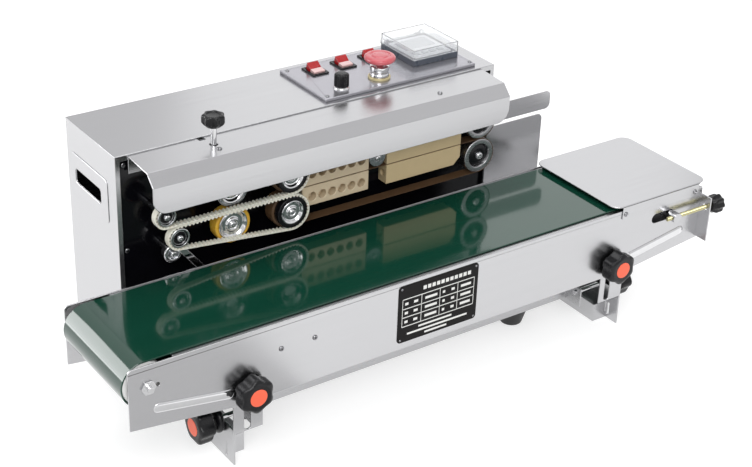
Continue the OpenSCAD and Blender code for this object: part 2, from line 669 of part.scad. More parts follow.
// Lobed clamp knob along +Z from the end of its stud: boss, lobed grip and flat cap
boss_h = 1.8;
grip_h = 20.2;
cap_h = 0.5;
module clamp_knob(stud_l) {
    bar_z([0, 0, 0], stud_r, stud_l + 1);
    bar_z([0, 0, stud_l], 10, boss_h + 1);
    translate([0, 0, stud_l + boss_h]) linear_extrude(grip_h) lobes(6, 22);
    bar_z([0, 0, stud_l + boss_h + grip_h - 1], 10.5, cap_h + 1);
}
module front_knob(x) color("#1a1a1a") translate([x, in_f + 6, knob_z]) rotate([90, 0, 0])
    clamp_knob(6 + plate_t + 0.5);
module left_front_knob() front_knob(knob_xl);
module right_front_knob() front_knob(knob_xr);

// xo is the outer face of the arm its washer bears on
module side_knob(x, xo, side) color("#1a1a1a")
    translate([x, side_knob_y, side_knob_z]) rotate([0, side * 90, 0]) {
        reach = abs(xo - x);
        clamp_knob(reach + 12);
        bar_z([0, 0, reach + 0.4], 16, 8.5);
    }
module left_side_knob() side_knob(tray_x0 + 4, arm_lx, -1);
module right_side_knob() side_knob(tray_x1 - 4, arm_rx, 1);

// ---- Conveyor ------------------------------------------------------------------------------

// Outline of a side plate, as (x, z)
module plate_outline() {
    zb = plate_z0 - taper_drop;
    difference() {
        polygon([[x0, plate_z0], [x0 + taper_l, zb], [x1 - taper_l, zb],
            [x1, plate_z0], [x1, plate_z1], [x0, plate_z1]]);
        for (s = [[x0, 1], [x1, -1]]) translate([s[0] + s[1] * 5, plate_z1 - 5]) difference() {
            translate([s[1] > 0 ? -6 : 0, 0]) square(6);
            circle(5);
        }
    }
}

module bead2() {
    for (m = [0, 1]) translate([m ? x1 : x0, 0]) mirror([m, 0])
        translate([77, plate_z0 + 12]) rotate(-9.3) slot2(97, 5);
}

module front_side_plate() color("gainsboro") difference() {
    union() {
        slab_y(yf, plate_t) plate_outline();
        slab_y(yf - 1.2, 1.3) bead2();
        block([knob_xl + 25, yf, plate_z0 - taper_drop], [knob_xr - 25, yf + 9, plate_z0 - taper_drop + 1.5]);
    }
    roller_holes();
    for (x = [knob_xl, knob_xr]) bar_y([x, yf - 3, knob_z], stud_r + run_gap, 6);
    for (x = plate_screw_x) bar_y([x, yf - 3, plate_screw_z], head_r / 2, 6);
}
module rear_side_plate() color("gainsboro") difference() {
    union() {
        slab_y(in_r, plate_t) plate_outline();
        slab_y(yr - 0.1, 1.3) bead2();
        block([knob_xl + 25, yr - 9, plate_z0 - taper_drop], [knob_xr - 25, yr, plate_z0 - taper_drop + 1.5]);
    }
    roller_holes();
}
// Holes for the fixed roller axles: round at the drive end, slotted at the tension end
module roller_holes() {
    bar_y([drive_x, yf - 10, roller_z], axle_r, conveyor_w + 20);
    bar_y([drive_x + 11.5, yf - 10, roller_z], 2.4, conveyor_w + 20);
    slab_y(yf - 10, conveyor_w + 20) translate([tail_x - 12, roller_z]) slot2(38, axle_r * 2 + 1);
}
tension_y = yf - 9.5;
plate_screw_x = [x0 + 187, x0 + 231];
plate_screw_z = plate_z0 + 41.6;

module slider_bed() color("silver") {
    zt = roller_z + belt_in_r - 0.4;
    block([drive_x + 32, in_f, zt - 1.5], [tail_x - 32, in_r, zt]);
    for (y = [in_f, in_r - 1.5]) block([drive_x + 32, y, zt - 14], [tail_x - 32, y + 1.5, zt]);
    difference() {
        for (s = bed_struts) {
            block([s[0], in_f, strut_z], [s[1], in_r, strut_z + 2]);
            for (y = [in_f, in_r - 1.5]) block([s[0], y, strut_z], [s[1], y + 1.5, zt]);
        }
        for (x = plate_screw_x) bar_y([x, in_f - 1, plate_screw_z], head_r / 2, 4);
    }
}
strut_z = roller_z - 12;
bed_struts = [[plate_screw_x[0] - 13, plate_screw_x[1] + 13], [0, 30], [283, 304]];

module roller_axles() color("silver") for (x = [drive_x, tail_x]) {
    bar_y([x, yf - 4, roller_z], axle_r, conveyor_w + 8);
    for (y = x == drive_x ? [yf, yr + 2.6] : [yr + 2.6])
        translate([x, y, roller_z]) rotate([90, 0, 0]) cylinder(r = 9, h = 2.6, $fn = 6);
    if (x == drive_x) bar_y([x, yf - 7.5, roller_z], 3.6, 5);
}

module roller(x) difference() {
    bar_y([x, belt_y0 + 1, roller_z], roller_r, belt_w - 2);
    bar_y([x, belt_y0 - 1, roller_z], axle_r + run_gap, belt_w + 2);
}
module drive_roller() color("#ececec") roller(drive_x);
module tail_roller() color("#ececec") roller(tail_x);

module conveyor_belt() color("#0d5f45") {
    belt_out_r = belt_in_r + belt_t;
    belt_loop([drive_x, roller_z], belt_out_r, [tail_x, roller_z], belt_out_r, belt_t, belt_y0, belt_w);
}

tray_x = x1 - 156;
tray_z = 179.4;
tray_skirt = 19;
tray_screw_x = [tray_x + 19, x1 - 16];
module infeed_tray() color("gainsboro") difference() {
    union() {
        linear_z(tray_z - 1.6, 1.6) round_rect([tray_x, yf - 2], [x1 + 5, yr + 2], 14);
        for (y = [yf - 1.8, yr + 0.3])
            block([tray_x + 14, y, tray_z - tray_skirt], [x1 - 9, y + 1.5, tray_z]);
        block([x1 + 3.4, yf + 12, tray_z - 13], [x1 + 5, yr - 12, tray_z]);
    }
    for (x = tray_screw_x, y = [yf - 4, yr - 2]) bar_y([x, y, tray_z - 12], head_r / 2, 6);
}
module linear_z(z, t) translate([0, 0, z]) linear_extrude(t) children();

module nameplate() color("#17181a") slab_y(yf - 0.8, 0.8)
    round_rect([x0 + 345, plate_z0 - 6], [x0 + 461, plate_z0 + 71], 5);

module conveyor_screws() color("silver") {
    for (x = plate_screw_x) screw_y([x, yf, plate_screw_z], head_r, 6);
    for (x = tray_screw_x) screw_y([x, yf - 1.8, tray_z - 12], head_r, 1.5);
    for (x = [knob_xl, knob_xr]) difference() {
        translate([x, fork_y + 7.3, knob_z]) rotate([90, 0, 0]) cylinder(r = 5.8, h = 5, $fn = 6);
        bar_y([x, fork_y, knob_z], stud_r + run_gap, 10);
    }
    for (x = [x0 + 349, x0 + 457], z = [plate_z0 - 2, plate_z0 + 67]) screw_y([x, yf - 0.8, z], 1.4, 0);
}

// The cross-drilled end that pulls the tail roller's axle, and the tab that the tension rod passes through
module tension_brackets() color("#c9c9b8") {
    difference() {
        bar_y([tail_x, yf - 15.5, roller_z], 7, 11.5);
        bar_x([tail_x - 10, tension_y, roller_z], stud_r + run_gap, 20);
    }
    difference() {
        block([x1 - 2, yf - 18.5, plate_z0 + 2], [x1, yf, plate_z1 - 11]);
        bar_x([x1 - 5, tension_y, roller_z], 4.3, 10);
    }
}

module tension_knob() color("#1a1a1a") {
    bar_x([tail_x - 14, tension_y, roller_z], stud_r, x1 + 8 - tail_x + 14);
    translate([x1 + 6, tension_y, roller_z]) rotate([0, 90, 0]) linear_extrude(knob_over - 6) lobes(8, 12.8);
}

base_tray();
rubber_feet();
casing();
rear_cover();
front_panel();
mounting_plate();
panel_screws();
guard_cover();
control_panel();
control_collars();
controller_base();
main_motor();
fan_frame();
power_inlet();
bearing_bushes();
heater_blocks();
cooler_blocks();
seal_bands();
guide_belts();
infeed_guides();
head_brackets();
wheel_axles();
lower_drive_wheel();
lower_drive_gear();
upper_drive_wheel();
upper_drive_gear();
lower_emboss_wheel();
upper_emboss_wheel();
lower_infeed_wheel();
upper_infeed_wheel();
lower_guide_pulley();
upper_guide_pulley();
idler_ring();
press_wheel();
fan_rotor();
pressure_knob();
speed_knob();
estop_button();
rocker_1();
rocker_2();
rocker_3();
controller_lid();
left_arm();
right_arm();
left_side_knob();
right_side_knob();
left_front_knob();
right_front_knob();
front_side_plate();
rear_side_plate();
slider_bed();
roller_axles();
conveyor_belt();
infeed_tray();
nameplate();
conveyor_screws();
tension_brackets();
drive_roller();
tail_roller();
tension_knob();
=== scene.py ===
"""Looks for the continuous band sealer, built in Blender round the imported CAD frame."""

import json
from math import acos, atan2, cos, dist, pi, radians, sin, sqrt

import bmesh
import bpy
from mathutils import Matrix, Vector

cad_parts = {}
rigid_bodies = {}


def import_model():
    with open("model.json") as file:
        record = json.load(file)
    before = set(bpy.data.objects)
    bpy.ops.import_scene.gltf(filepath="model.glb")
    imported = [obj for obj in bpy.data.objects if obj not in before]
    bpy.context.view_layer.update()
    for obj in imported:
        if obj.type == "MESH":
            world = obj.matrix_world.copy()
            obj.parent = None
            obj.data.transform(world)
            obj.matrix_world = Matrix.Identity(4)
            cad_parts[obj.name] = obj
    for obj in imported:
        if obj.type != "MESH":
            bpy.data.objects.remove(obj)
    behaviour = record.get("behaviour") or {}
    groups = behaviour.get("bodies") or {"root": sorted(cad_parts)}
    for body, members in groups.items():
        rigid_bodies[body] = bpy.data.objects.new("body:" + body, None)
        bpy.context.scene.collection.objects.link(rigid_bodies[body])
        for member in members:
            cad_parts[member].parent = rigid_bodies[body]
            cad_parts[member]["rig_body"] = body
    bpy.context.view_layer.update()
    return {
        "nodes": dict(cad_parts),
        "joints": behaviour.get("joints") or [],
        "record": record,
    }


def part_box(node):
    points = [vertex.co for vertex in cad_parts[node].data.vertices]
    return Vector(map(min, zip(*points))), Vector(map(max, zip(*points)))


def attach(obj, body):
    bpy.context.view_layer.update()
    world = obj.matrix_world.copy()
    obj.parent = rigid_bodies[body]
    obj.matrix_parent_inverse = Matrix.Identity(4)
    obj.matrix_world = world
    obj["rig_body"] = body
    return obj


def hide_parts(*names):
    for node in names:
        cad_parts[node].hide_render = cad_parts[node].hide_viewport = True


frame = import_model()

MM = 0.001
NODES = frame["nodes"]
SLOT_OF = {s["node"]: s["material_slot"] for s in frame["record"]["subparts"]}
BODY_OF = {n: o["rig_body"] for n, o in NODES.items()}
AXIS_AT = {j["child"]: Vector(j["pos_m"]) / MM for j in frame["joints"] if "pos_m" in j}


def box(node):
    """Lowest and highest corner of a CAD node, in millimetres."""
    low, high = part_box(node)
    return low / MM, high / MM


# ---- Materials -----------------------------------------------

NOISE_DETAIL, RELIEF_DETAIL = 4.0, 3.0
NOISE_FLOOR, NOISE_CEILING = 0.3, 0.7  # the range that most of a noise's values lie in
ROUGHNESS_GRAIN = 1.7  # how much finer roughness varies than colour
RELIEF_DEPTH = 0.0002


def surface(name, color, rough, metal, vary, rough_vary, grain=(60, 60, 60),
            bump=0.0, bump_grain=(900, 900, 900), **sockets):
    """A principled material whose colour, roughness and relief follow noise in object space."""
    mat = bpy.data.materials.new(name)
    mat.use_nodes = True
    nodes, links = mat.node_tree.nodes, mat.node_tree.links
    shader = nodes["Principled BSDF"]
    shader.inputs["Metallic"].default_value = metal
    for key, value in sockets.items():
        shader.inputs[key.replace("_", " ")].default_value = value
    place = nodes.new("ShaderNodeTexCoord")

    def noise(scale, depth):
        mapping = nodes.new("ShaderNodeMapping")
        mapping.inputs["Scale"].default_value = scale
        texture = nodes.new("ShaderNodeTexNoise")
        texture.inputs["Scale"].default_value = 1.0
        texture.inputs["Detail"].default_value = depth
        links.new(place.outputs["Object"], mapping.inputs["Vector"])
        links.new(mapping.outputs["Vector"], texture.inputs["Vector"])
        return texture.outputs["Fac"]

    broad = noise(grain, NOISE_DETAIL)
    ramp = nodes.new("ShaderNodeValToRGB")
    darkest, palest = ramp.color_ramp.elements
    darkest.position, palest.position = NOISE_FLOOR, NOISE_CEILING
    darkest.color = [*(c * (1 - vary) for c in color), 1]
    palest.color = [*(min(1, c * (1 + vary)) for c in color), 1]
    links.new(broad, ramp.inputs["Fac"])
    links.new(ramp.outputs["Color"], shader.inputs["Base Color"])
    spread = nodes.new("ShaderNodeMapRange")
    spread.inputs["From Min"].default_value = NOISE_FLOOR
    spread.inputs["From Max"].default_value = NOISE_CEILING
    spread.inputs["To Min"].default_value = max(0.02, rough - rough_vary)
    spread.inputs["To Max"].default_value = rough + rough_vary
    fine = tuple(g * ROUGHNESS_GRAIN for g in grain)
    links.new(noise(fine, NOISE_DETAIL), spread.inputs["Value"])
    links.new(spread.outputs["Result"], shader.inputs["Roughness"])
    if bump:
        relief = nodes.new("ShaderNodeBump")
        relief.inputs["Strength"].default_value = bump
        relief.inputs["Distance"].default_value = RELIEF_DEPTH
        links.new(noise(bump_grain, RELIEF_DETAIL), relief.inputs["Height"])
        links.new(relief.outputs["Normal"], shader.inputs["Normal"])
    return mat


BRUSHED = dict(grain=(5, 240, 240), bump_grain=(40, 2600, 2600))
PAINTED = dict(bump=0.05, bump_grain=(500, 500, 500))
MOULDED = dict(bump=0.2, bump_grain=(2000, 2000, 2000))
# Look: colour, roughness, metalness, colour variation, roughness variation, other settings.
RECIPES = {
    "stainless": ((0.50, 0.50, 0.51), 0.25, 1.0, 0.01, 0.018, dict(bump=0.014, **BRUSHED)),
    "stainless_soft": ((0.46, 0.46, 0.47), 0.28, 1.0, 0.02, 0.03, dict(bump=0.03, **BRUSHED)),
    "bright_steel": ((0.66, 0.66, 0.67), 0.08, 1.0, 0.02, 0.03, dict(grain=(200, 200, 200))),
    # a darker copy of steel for the casing and side plate screws: painted shade standing for the
    # shade in their recesses and round their rims
    "screw_steel_painted_shade": ((0.26, 0.26, 0.27), 0.14, 1.0, 0.03, 0.04, dict(grain=(200, 200, 200))),
    "steel": ((0.34, 0.35, 0.37), 0.24, 1.0, 0.06, 0.05, dict(grain=(120, 120, 120))),
    "zinc": ((0.46, 0.43, 0.25), 0.24, 1.0, 0.03, 0.04, dict(grain=(150, 150, 150))),
    "bronze": ((0.55, 0.36, 0.16), 0.35, 1.0, 0.06, 0.06, dict(grain=(150, 150, 150))),
    "heater_gold": ((0.55, 0.43, 0.25), 0.36, 0.3, 0.02, 0.03, dict(grain=(90, 90, 90))),
    "black_paint": ((0.002, 0.002, 0.003), 0.12, 0.0, 0.2, 0.03,
                    dict(grain=(40, 40, 40), Specular_IOR_Level=0.22, **PAINTED)),
    "motor_grey": ((0.07, 0.085, 0.10), 0.45, 0.0, 0.15, 0.08, MOULDED),
    "panel_film": ((0.37, 0.365, 0.395), 0.22, 0.75, 0.012, 0.03,
                   dict(bump=0.03, bump_grain=(2500, 2500, 2500))),
    "black_plastic": ((0.004, 0.004, 0.005), 0.26, 0.0, 0.2, 0.05,
                      dict(bump=0.12, bump_grain=(2200, 2200, 2200), Specular_IOR_Level=0.3)),
    "dark_plastic": ((0.055, 0.063, 0.080), 0.30, 0.0, 0.12, 0.06, MOULDED),
    "red_plastic": ((0.30, 0.003, 0.005), 0.22, 0.0, 0.08, 0.05, dict(bump=0.05, Coat_Weight=0.25)),
    "stop_red": ((0.42, 0.065, 0.08), 0.28, 0.0, 0.04, 0.05, dict(bump=0.04, Coat_Weight=0.4)),
    "clear": ((0.96, 0.97, 0.98), 0.03, 0.0, 0.005, 0.01, dict(Transmission_Weight=0.86, IOR=1.40)),
    "cooler_cream": ((0.55, 0.45, 0.31), 0.38, 0.2, 0.03, 0.05,
                     dict(bump=0.1, bump_grain=(1200, 1200, 1200))),
    "ptfe": ((0.085, 0.048, 0.024), 0.34, 0.0, 0.12, 0.06,
             dict(bump=0.25, bump_grain=(3200, 3200, 3200))),
    "cream_belt": ((0.60, 0.58, 0.50), 0.46, 0.0, 0.04, 0.06,
                   dict(bump=0.1, Subsurface_Weight=0.05)),
    "green_belt": ((0.004, 0.036, 0.022), 0.08, 0.0, 0.05, 0.02,
                   dict(grain=(14, 30, 30), bump=0.06, bump_grain=(1500, 1500, 1500),
                        Coat_Weight=0.35)),
    "rubber_black": ((0.012, 0.012, 0.013), 0.50, 0.0, 0.15, 0.06, MOULDED),
    "amber": ((0.52, 0.29, 0.03), 0.28, 0.0, 0.05, 0.05, dict(bump=0.05, Subsurface_Weight=0.1)),
    "roller_white": ((0.70, 0.70, 0.69), 0.40, 0.0, 0.03, 0.06, dict(bump=0.1)),
    "plate_black": ((0.004, 0.0035, 0.0035), 0.32, 0.0, 0.2, 0.04, dict(Specular_IOR_Level=0.12)),
    "orange_cap": ((0.72, 0.095, 0.038), 0.34, 0.0, 0.04, 0.05, dict(bump=0.04)),
    # a paler copy of red_plastic for the rockers' front halves: a painted highlight for the light on
    # their front slopes
    "red_painted_highlight": ((0.52, 0.34, 0.33), 0.16, 0.0, 0.03, 0.04, dict(Coat_Weight=0.6)),
    "white_print": ((0.60, 0.60, 0.58), 0.45, 0.0, 0.03, 0.05, {}),
    "grey_face": ((0.66, 0.67, 0.69), 0.40, 0.0, 0.03, 0.05, {}),
    "yellow_ring": ((0.50, 0.43, 0.24), 0.35, 0.3, 0.05, 0.05, {}),
    "pale_window": ((0.40, 0.41, 0.43), 0.12, 0.0, 0.03, 0.03, {}),
    "pale_key": ((0.52, 0.53, 0.55), 0.35, 0.0, 0.03, 0.04, {}),
}
LOOKS = {name: surface(name, *values, **options) for name, (*values, options) in RECIPES.items()}


# ---- Mesh tools ----------------------------------------------

def put(name, data):
    """Puts a new object in the scene."""
    made = bpy.data.objects.new(name, data)
    bpy.context.scene.collection.objects.link(made)
    return made


BEVEL_ANGLE, SHARP_ANGLE, FLAT_ANGLE = radians(30), radians(38), radians(0.5)
WELD = 0.002  # CAD vertices nearer than this become one


def settle(piece, width, segments):
    """Applies a bevel and weighted normals to a piece's mesh."""
    if width:
        bevel = piece.modifiers.new("bevel", "BEVEL")
        bevel.width = width * MM
        bevel.segments = segments
        bevel.limit_method = "ANGLE"
        bevel.angle_limit = BEVEL_ANGLE
        bevel.use_clamp_overlap = False
        bevel.miter_outer = "MITER_ARC"
        normals = piece.modifiers.new("normals", "WEIGHTED_NORMAL")
        normals.keep_sharp = True
    view = bpy.context.evaluated_depsgraph_get()
    mesh = bpy.data.meshes.new_from_object(piece.evaluated_get(view))
    piece.modifiers.clear()
    piece.data = mesh


def make_piece(name, mesh, body, look, node=None, width=0.0, segments=2):
    """Puts a mesh in the scene as a piece that rides on a body and may stand for a CAD node."""
    mesh.shade_smooth()
    mesh.set_sharp_from_angle(angle=SHARP_ANGLE)
    piece = put(name, mesh)
    settle(piece, width, segments)
    piece.data.name = name
    piece.data.materials.clear()
    piece.data.materials.append(LOOKS[look])
    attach(piece, body)
    if node:
        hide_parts(node)
    return piece


def build(name, verts, faces, body, look, node=None, **options):
    """A piece from vertices in millimetres and faces, with its normals turned outwards."""
    shape = bmesh.new()
    made = [shape.verts.new(Vector(v) * MM) for v in verts]
    for face in faces:
        shape.faces.new([made[i] for i in face])
    bmesh.ops.recalc_face_normals(shape, faces=shape.faces)
    mesh = bpy.data.meshes.new(name)
    shape.to_mesh(mesh)
    shape.free()
    return make_piece(name, mesh, body, look, node, **options)


def soften(node, width, segments, look=None):
    """The CAD node's own shape with its sharp edges rounded over."""
    shape = bmesh.new()
    shape.from_mesh(NODES[node].data)
    bmesh.ops.remove_doubles(shape, verts=shape.verts, dist=WELD * MM)
    bmesh.ops.dissolve_limit(shape, angle_limit=FLAT_ANGLE, verts=shape.verts, edges=shape.edges)
    mesh = bpy.data.meshes.new(node)
    shape.to_mesh(mesh)
    shape.free()
    make_piece(node + "_skin", mesh, BODY_OF[node], look or SLOT_OF[node], node, width, segments)


LONGEST_CUT = 0.45  # the most of a side that one round corner may take


def fillet(points, radius, closed=False, steps=3):
    """Rounds the corners of a path of points; each point may carry more values than two."""
    out = []
    for i, corner in enumerate(points):
        if not closed and i in (0, len(points) - 1):
            out.append(tuple(corner))
            continue
        before, after = points[i - 1], points[(i + 1) % len(points)]
        to_before = dist(corner[:2], before[:2])
        to_after = dist(corner[:2], after[:2])
        cut = min(radius, LONGEST_CUT * to_before, LONGEST_CUT * to_after)
        start = [c + (b - c) * cut / to_before for b, c in zip(before, corner)]
        end = [c + (a - c) * cut / to_after for a, c in zip(after, corner)]
        for k in range(steps + 1):
            t = k / steps
            out.append(tuple((1 - t) ** 2 * s + 2 * t * (1 - t) * c + t * t * e
                             for s, c, e in zip(start, corner, end)))
    return out


ORIGIN = (0, 0, 0)
AXES = {"x": (1, 2, 0), "y": (2, 0, 1), "z": (0, 1, 2)}


def oriented(axis, at, u, v, w):
    """A point u, v across an axis and w along it, from at."""
    point = [0.0, 0.0, 0.0]
    for index, value in zip(AXES[axis], (u, v, w)):
        point[index] = at[index] + value
    return point


def turned(name, at, axis, profile, body, look, node=None, lobes=0, corner=0.4, steps=64):
    """A turned piece. profile is (along, radius) or (along, radius, flute); a flute cuts into the
    radius lobes times round. A profile that starts off the axis closes into a ring."""
    closed = profile[0][1] > 0
    full = [tuple(p) + (0.0,) * (3 - len(p)) for p in profile]
    rings = fillet(full, corner, closed)
    verts, faces, rows = [], [], []
    for along, radius, flute in rings:
        if radius < 1e-6:
            rows.append([len(verts)])
            verts.append(oriented(axis, at, 0, 0, along))
            continue
        row = []
        for k in range(steps):
            turn = 2 * pi * k / steps
            dip = 0.5 - 0.5 * cos(lobes * turn) if lobes else 0.0
            r = radius - flute * dip
            row.append(len(verts))
            verts.append(oriented(axis, at, r * cos(turn), r * sin(turn), along))
        rows.append(row)
    pairs = list(zip(rows, rows[1:]))
    if closed:
        pairs.append((rows[-1], rows[0]))
    else:
        faces += [row for row in (rows[0], rows[-1]) if len(row) > 1]
    for one, two in pairs:
        for k in range(steps):
            n = (k + 1) % steps
            if len(one) == 1 and len(two) == 1:
                continue
            if len(one) == 1:
                faces.append([one[0], two[k], two[n]])
            elif len(two) == 1:
                faces.append([one[k], one[n], two[0]])
            else:
                faces.append([one[k], one[n], two[n], two[k]])
    return build(name, verts, faces, body, look, node)


def moved(start, profile):
    """A profile whose places along its axis are measured from start."""
    return [(start + along, *rest) for along, *rest in profile]


def wheel(name, profile, body, look, node=None, **options):
    """A turned piece on a body's own axis, which runs from front to back."""
    at = AXIS_AT[body]
    turned(name, (at.x, 0, at.z), "y", profile, body, look, node, **options)


def prism(name, outline, axis, start, depth, body, look, node=None, **options):
    """An outline across an axis, given depth along it from start."""
    n = len(outline)
    verts = [oriented(axis, ORIGIN, u, v, w) for w in (start, start + depth) for u, v in outline]
    faces = [list(range(n)), list(range(n, 2 * n))]
    faces += [[i, (i + 1) % n, n + (i + 1) % n, n + i] for i in range(n)]
    return build(name, verts, faces, body, look, node, **options)


def frame_ring(name, inner, outer, axis, start, depth, body, look, **options):
    """A flat ring between two outlines that have the same number of points."""
    n = len(outer)
    verts = [oriented(axis, ORIGIN, u, v, w)
             for w in (start, start + depth) for u, v in [*outer, *inner]]
    faces = []
    for i in range(n):
        j = (i + 1) % n
        faces += [[i, j, n + j, n + i], [2 * n + i, 2 * n + j, 3 * n + j, 3 * n + i],
                  [i, j, 2 * n + j, 2 * n + i], [n + i, n + j, 3 * n + j, 3 * n + i]]
    return build(name, verts, faces, body, look, **options)


def round_rect(u0, v0, u1, v1, radius, steps=6):
    """Points round a rectangle with round corners."""
    out = []
    for cu, cv, first in ((u1 - radius, v1 - radius, 0), (u0 + radius, v1 - radius, 90),
                          (u0 + radius, v0 + radius, 180), (u1 - radius, v0 + radius, 270)):
        for k in range(steps + 1):
            a = radians(first + 90 * k / steps)
            out.append((cu + radius * cos(a), cv + radius * sin(a)))
    return out


def walk(a, ra, b, rb, line_step, arc_step):
    """Points along the outer face of a belt round pulleys at a and b, each as
    (x, z, normal x, normal z, distance), and the belt's whole length."""
    gap = dist(a, b)
    heading = atan2(b[1] - a[1], b[0] - a[0])
    spread = acos((ra - rb) / gap)
    up, down = heading + spread, heading - spread
    run = sqrt(gap ** 2 - (ra - rb) ** 2)
    out, distance = [], 0.0

    def straight(centre, radius, angle, other, other_radius):
        start = (centre[0] + radius * cos(angle), centre[1] + radius * sin(angle))
        end = (other[0] + other_radius * cos(angle), other[1] + other_radius * sin(angle))
        count = max(1, round(run / line_step))
        for k in range(count):
            t = k / count
            out.append((start[0] + (end[0] - start[0]) * t, start[1] + (end[1] - start[1]) * t,
                        cos(angle), sin(angle), distance + run * t))

    def arc(centre, radius, first, last):
        length = radius * abs(last - first)
        count = max(8, round(length / arc_step))
        for k in range(count):
            angle = first + (last - first) * k / count
            out.append((centre[0] + radius * cos(angle), centre[1] + radius * sin(angle),
                        cos(angle), sin(angle), distance + length * k / count))
        return length

    straight(a, ra, up, b, rb)
    distance += run
    distance += arc(b, rb, up, down)
    straight(b, rb, down, a, ra)
    distance += run
    distance += arc(a, ra, down, up - 2 * pi)
    return out, distance


def belt_mesh(path, section):
    """Sweeps section(distance), a list of (y, depth), along a closed path, as verts and faces."""
    verts, faces, count = [], [], 0
    for x, z, nx, nz, distance in path:
        ring = section(distance)
        count = len(ring)
        verts += [(x - nx * depth, y, z - nz * depth) for y, depth in ring]
    total = len(path)
    for i in range(total):
        j = (i + 1) % total
        for k in range(count):
            m = (k + 1) % count
            faces.append([i * count + k, j * count + k, j * count + m, i * count + m])
    return verts, faces


def merged(parts):
    """Joins several (verts, faces) lists into one."""
    verts, faces = [], []
    for more_verts, more_faces in parts:
        base = len(verts)
        verts += more_verts
        faces += [[base + i for i in face] for face in more_faces]
    return verts, faces


# ---- Screws --------------------------------------------------

def screw_head(radius):
    """A dome head with a cross recess, facing +Z from its seat, as verts and faces. Its heights and
    reaches are shares of its radius."""
    shape = bmesh.new()
    steps, crown = 24, 0.50
    dome = [(1.0, 0.0), (1.0, 0.12), (0.94, 0.28), (0.82, 0.42), (0.66, crown)]
    rows = []
    for reach, height in dome:
        rows.append([shape.verts.new((radius * reach * cos(2 * pi * k / steps),
                                      radius * reach * sin(2 * pi * k / steps),
                                      radius * height)) for k in range(steps)])
    shape.faces.new(rows[0])
    for one, two in zip(rows, rows[1:]):
        for k in range(steps):
            n = (k + 1) % steps
            shape.faces.new([one[k], one[n], two[n], two[k]])
    half, arm, narrowing, sunk = 0.13, 0.5, 0.55, 0.12
    cross = [(half, half), (half, arm), (-half, arm), (-half, half), (-arm, half), (-arm, -half),
             (-half, -half), (-half, -arm), (half, -arm), (half, -half), (arm, -half), (arm, half)]
    count = len(cross)
    rim = [shape.verts.new((radius * x, radius * y, radius * crown)) for x, y in cross]
    base = [shape.verts.new((radius * x * narrowing, radius * y * narrowing, radius * sunk))
            for x, y in cross]
    edges = [shape.edges.new((rim[i], rim[(i + 1) % count])) for i in range(count)]
    for i in range(count):
        j = (i + 1) % count
        shape.faces.new([rim[i], rim[j], base[j], base[i]])
    shape.faces.new(base)
    shape.edges.ensure_lookup_table()
    last_ring = [e for e in shape.edges if set(e.verts) <= set(rows[-1])]
    bmesh.ops.triangle_fill(shape, edges=last_ring + edges, use_beauty=True)
    shape.verts.index_update()
    verts = [tuple(v.co) for v in shape.verts]
    faces = [[v.index for v in f.verts] for f in shape.faces]
    shape.free()
    return verts, faces


def screws(name, spots, body, look, node=None):
    """Screw heads at spots, each (seat point, direction, head radius, turn in degrees)."""
    parts = []
    for seat, direction, radius, turn in spots:
        verts, faces = screw_head(radius)
        facing = Vector(direction).to_track_quat("Z", "Y").to_matrix()
        stance = facing @ Matrix.Rotation(radians(turn), 3, "Z")
        parts.append(([tuple(stance @ Vector(v) + Vector(seat)) for v in verts], faces))
    verts, faces = merged(parts)
    return build(name, verts, faces, body, look, node)


# ---- Frame values --------------------------------------------

casing_low, casing_high = box("casing")
panel_low, panel_high = box("control_panel")
plate_low, plate_high = box("front_side_plate")
cover_high = box("guard_cover")[1]
belt_low, belt_high = box("conveyor_belt")
guide_low, guide_high = box("guide_belts")
band_low, band_high = box("seal_bands")
HEAD_FRONT = guide_low.y
BAND_FRONT, BAND_BACK = band_low.y, band_high.y
PLATE_RIDGE = 1.2  # how far the side plates' box stands past their face
CASE_SCREW = 3.2  # head radius of the screws in the casing and the side plate
WIDE_BEVEL = 0.5  # bevels at least this wide get a third segment

# How far the edges of each node that is shown in its own shape are rounded.
SKINS = {
    "casing": 0.55, "guard_cover": 0.55, "infeed_tray": 0.55, "control_panel": 0.9,
    "front_side_plate": 0.5, "rear_side_plate": 0.5, "left_arm": 0.6, "right_arm": 0.6,
    "base_tray": 0.5, "rear_cover": 0.4, "front_panel": 0.4, "mounting_plate": 0.5,
    "controller_base": 0.8, "controller_lid": 0.5, "main_motor": 1.2, "fan_frame": 1.0,
    "power_inlet": 0.8, "bearing_bushes": 0.3, "heater_blocks": 0.6,
    "cooler_blocks": 0.6, "infeed_guides": 0.4, "head_brackets": 0.6,
    "lower_drive_gear": 0.25, "upper_drive_gear": 0.25, "fan_rotor": 0.5, "slider_bed": 0.4,
    "roller_axles": 0.5, "nameplate": 0.25, "tension_brackets": 0.5, "rubber_feet": 1.5,
    "drive_roller": 1.0, "tail_roller": 1.0, "press_wheel": 0.7,
}
for node, width in SKINS.items():
    soften(node, width, 3 if width >= WIDE_BEVEL else 2,
           "stainless" if node == "tension_brackets" else None)


# ---- Casing details ------------------------------------------

def handle_rims():
    """The raised panel pressed round each handle hole."""
    y0, y1 = casing_low.y + 39.5, casing_low.y + 105.5
    z0, z1 = casing_high.z - 75, casing_high.z - 57
    inner = round_rect(y0 - 0.4, z0 - 0.4, y1 + 0.4, z1 + 0.4, 4.4)
    outer = round_rect(y0 - 18, z0 - 19, y1 + 10, z1 + 19, 6)
    for side, x in (("left", casing_low.x - 0.9), ("right", casing_high.x - 0.2)):
        frame_ring(f"{side}_handle_panel", inner, outer, "x", x, 1.1, "root", "stainless",
                   width=0.7, segments=3)


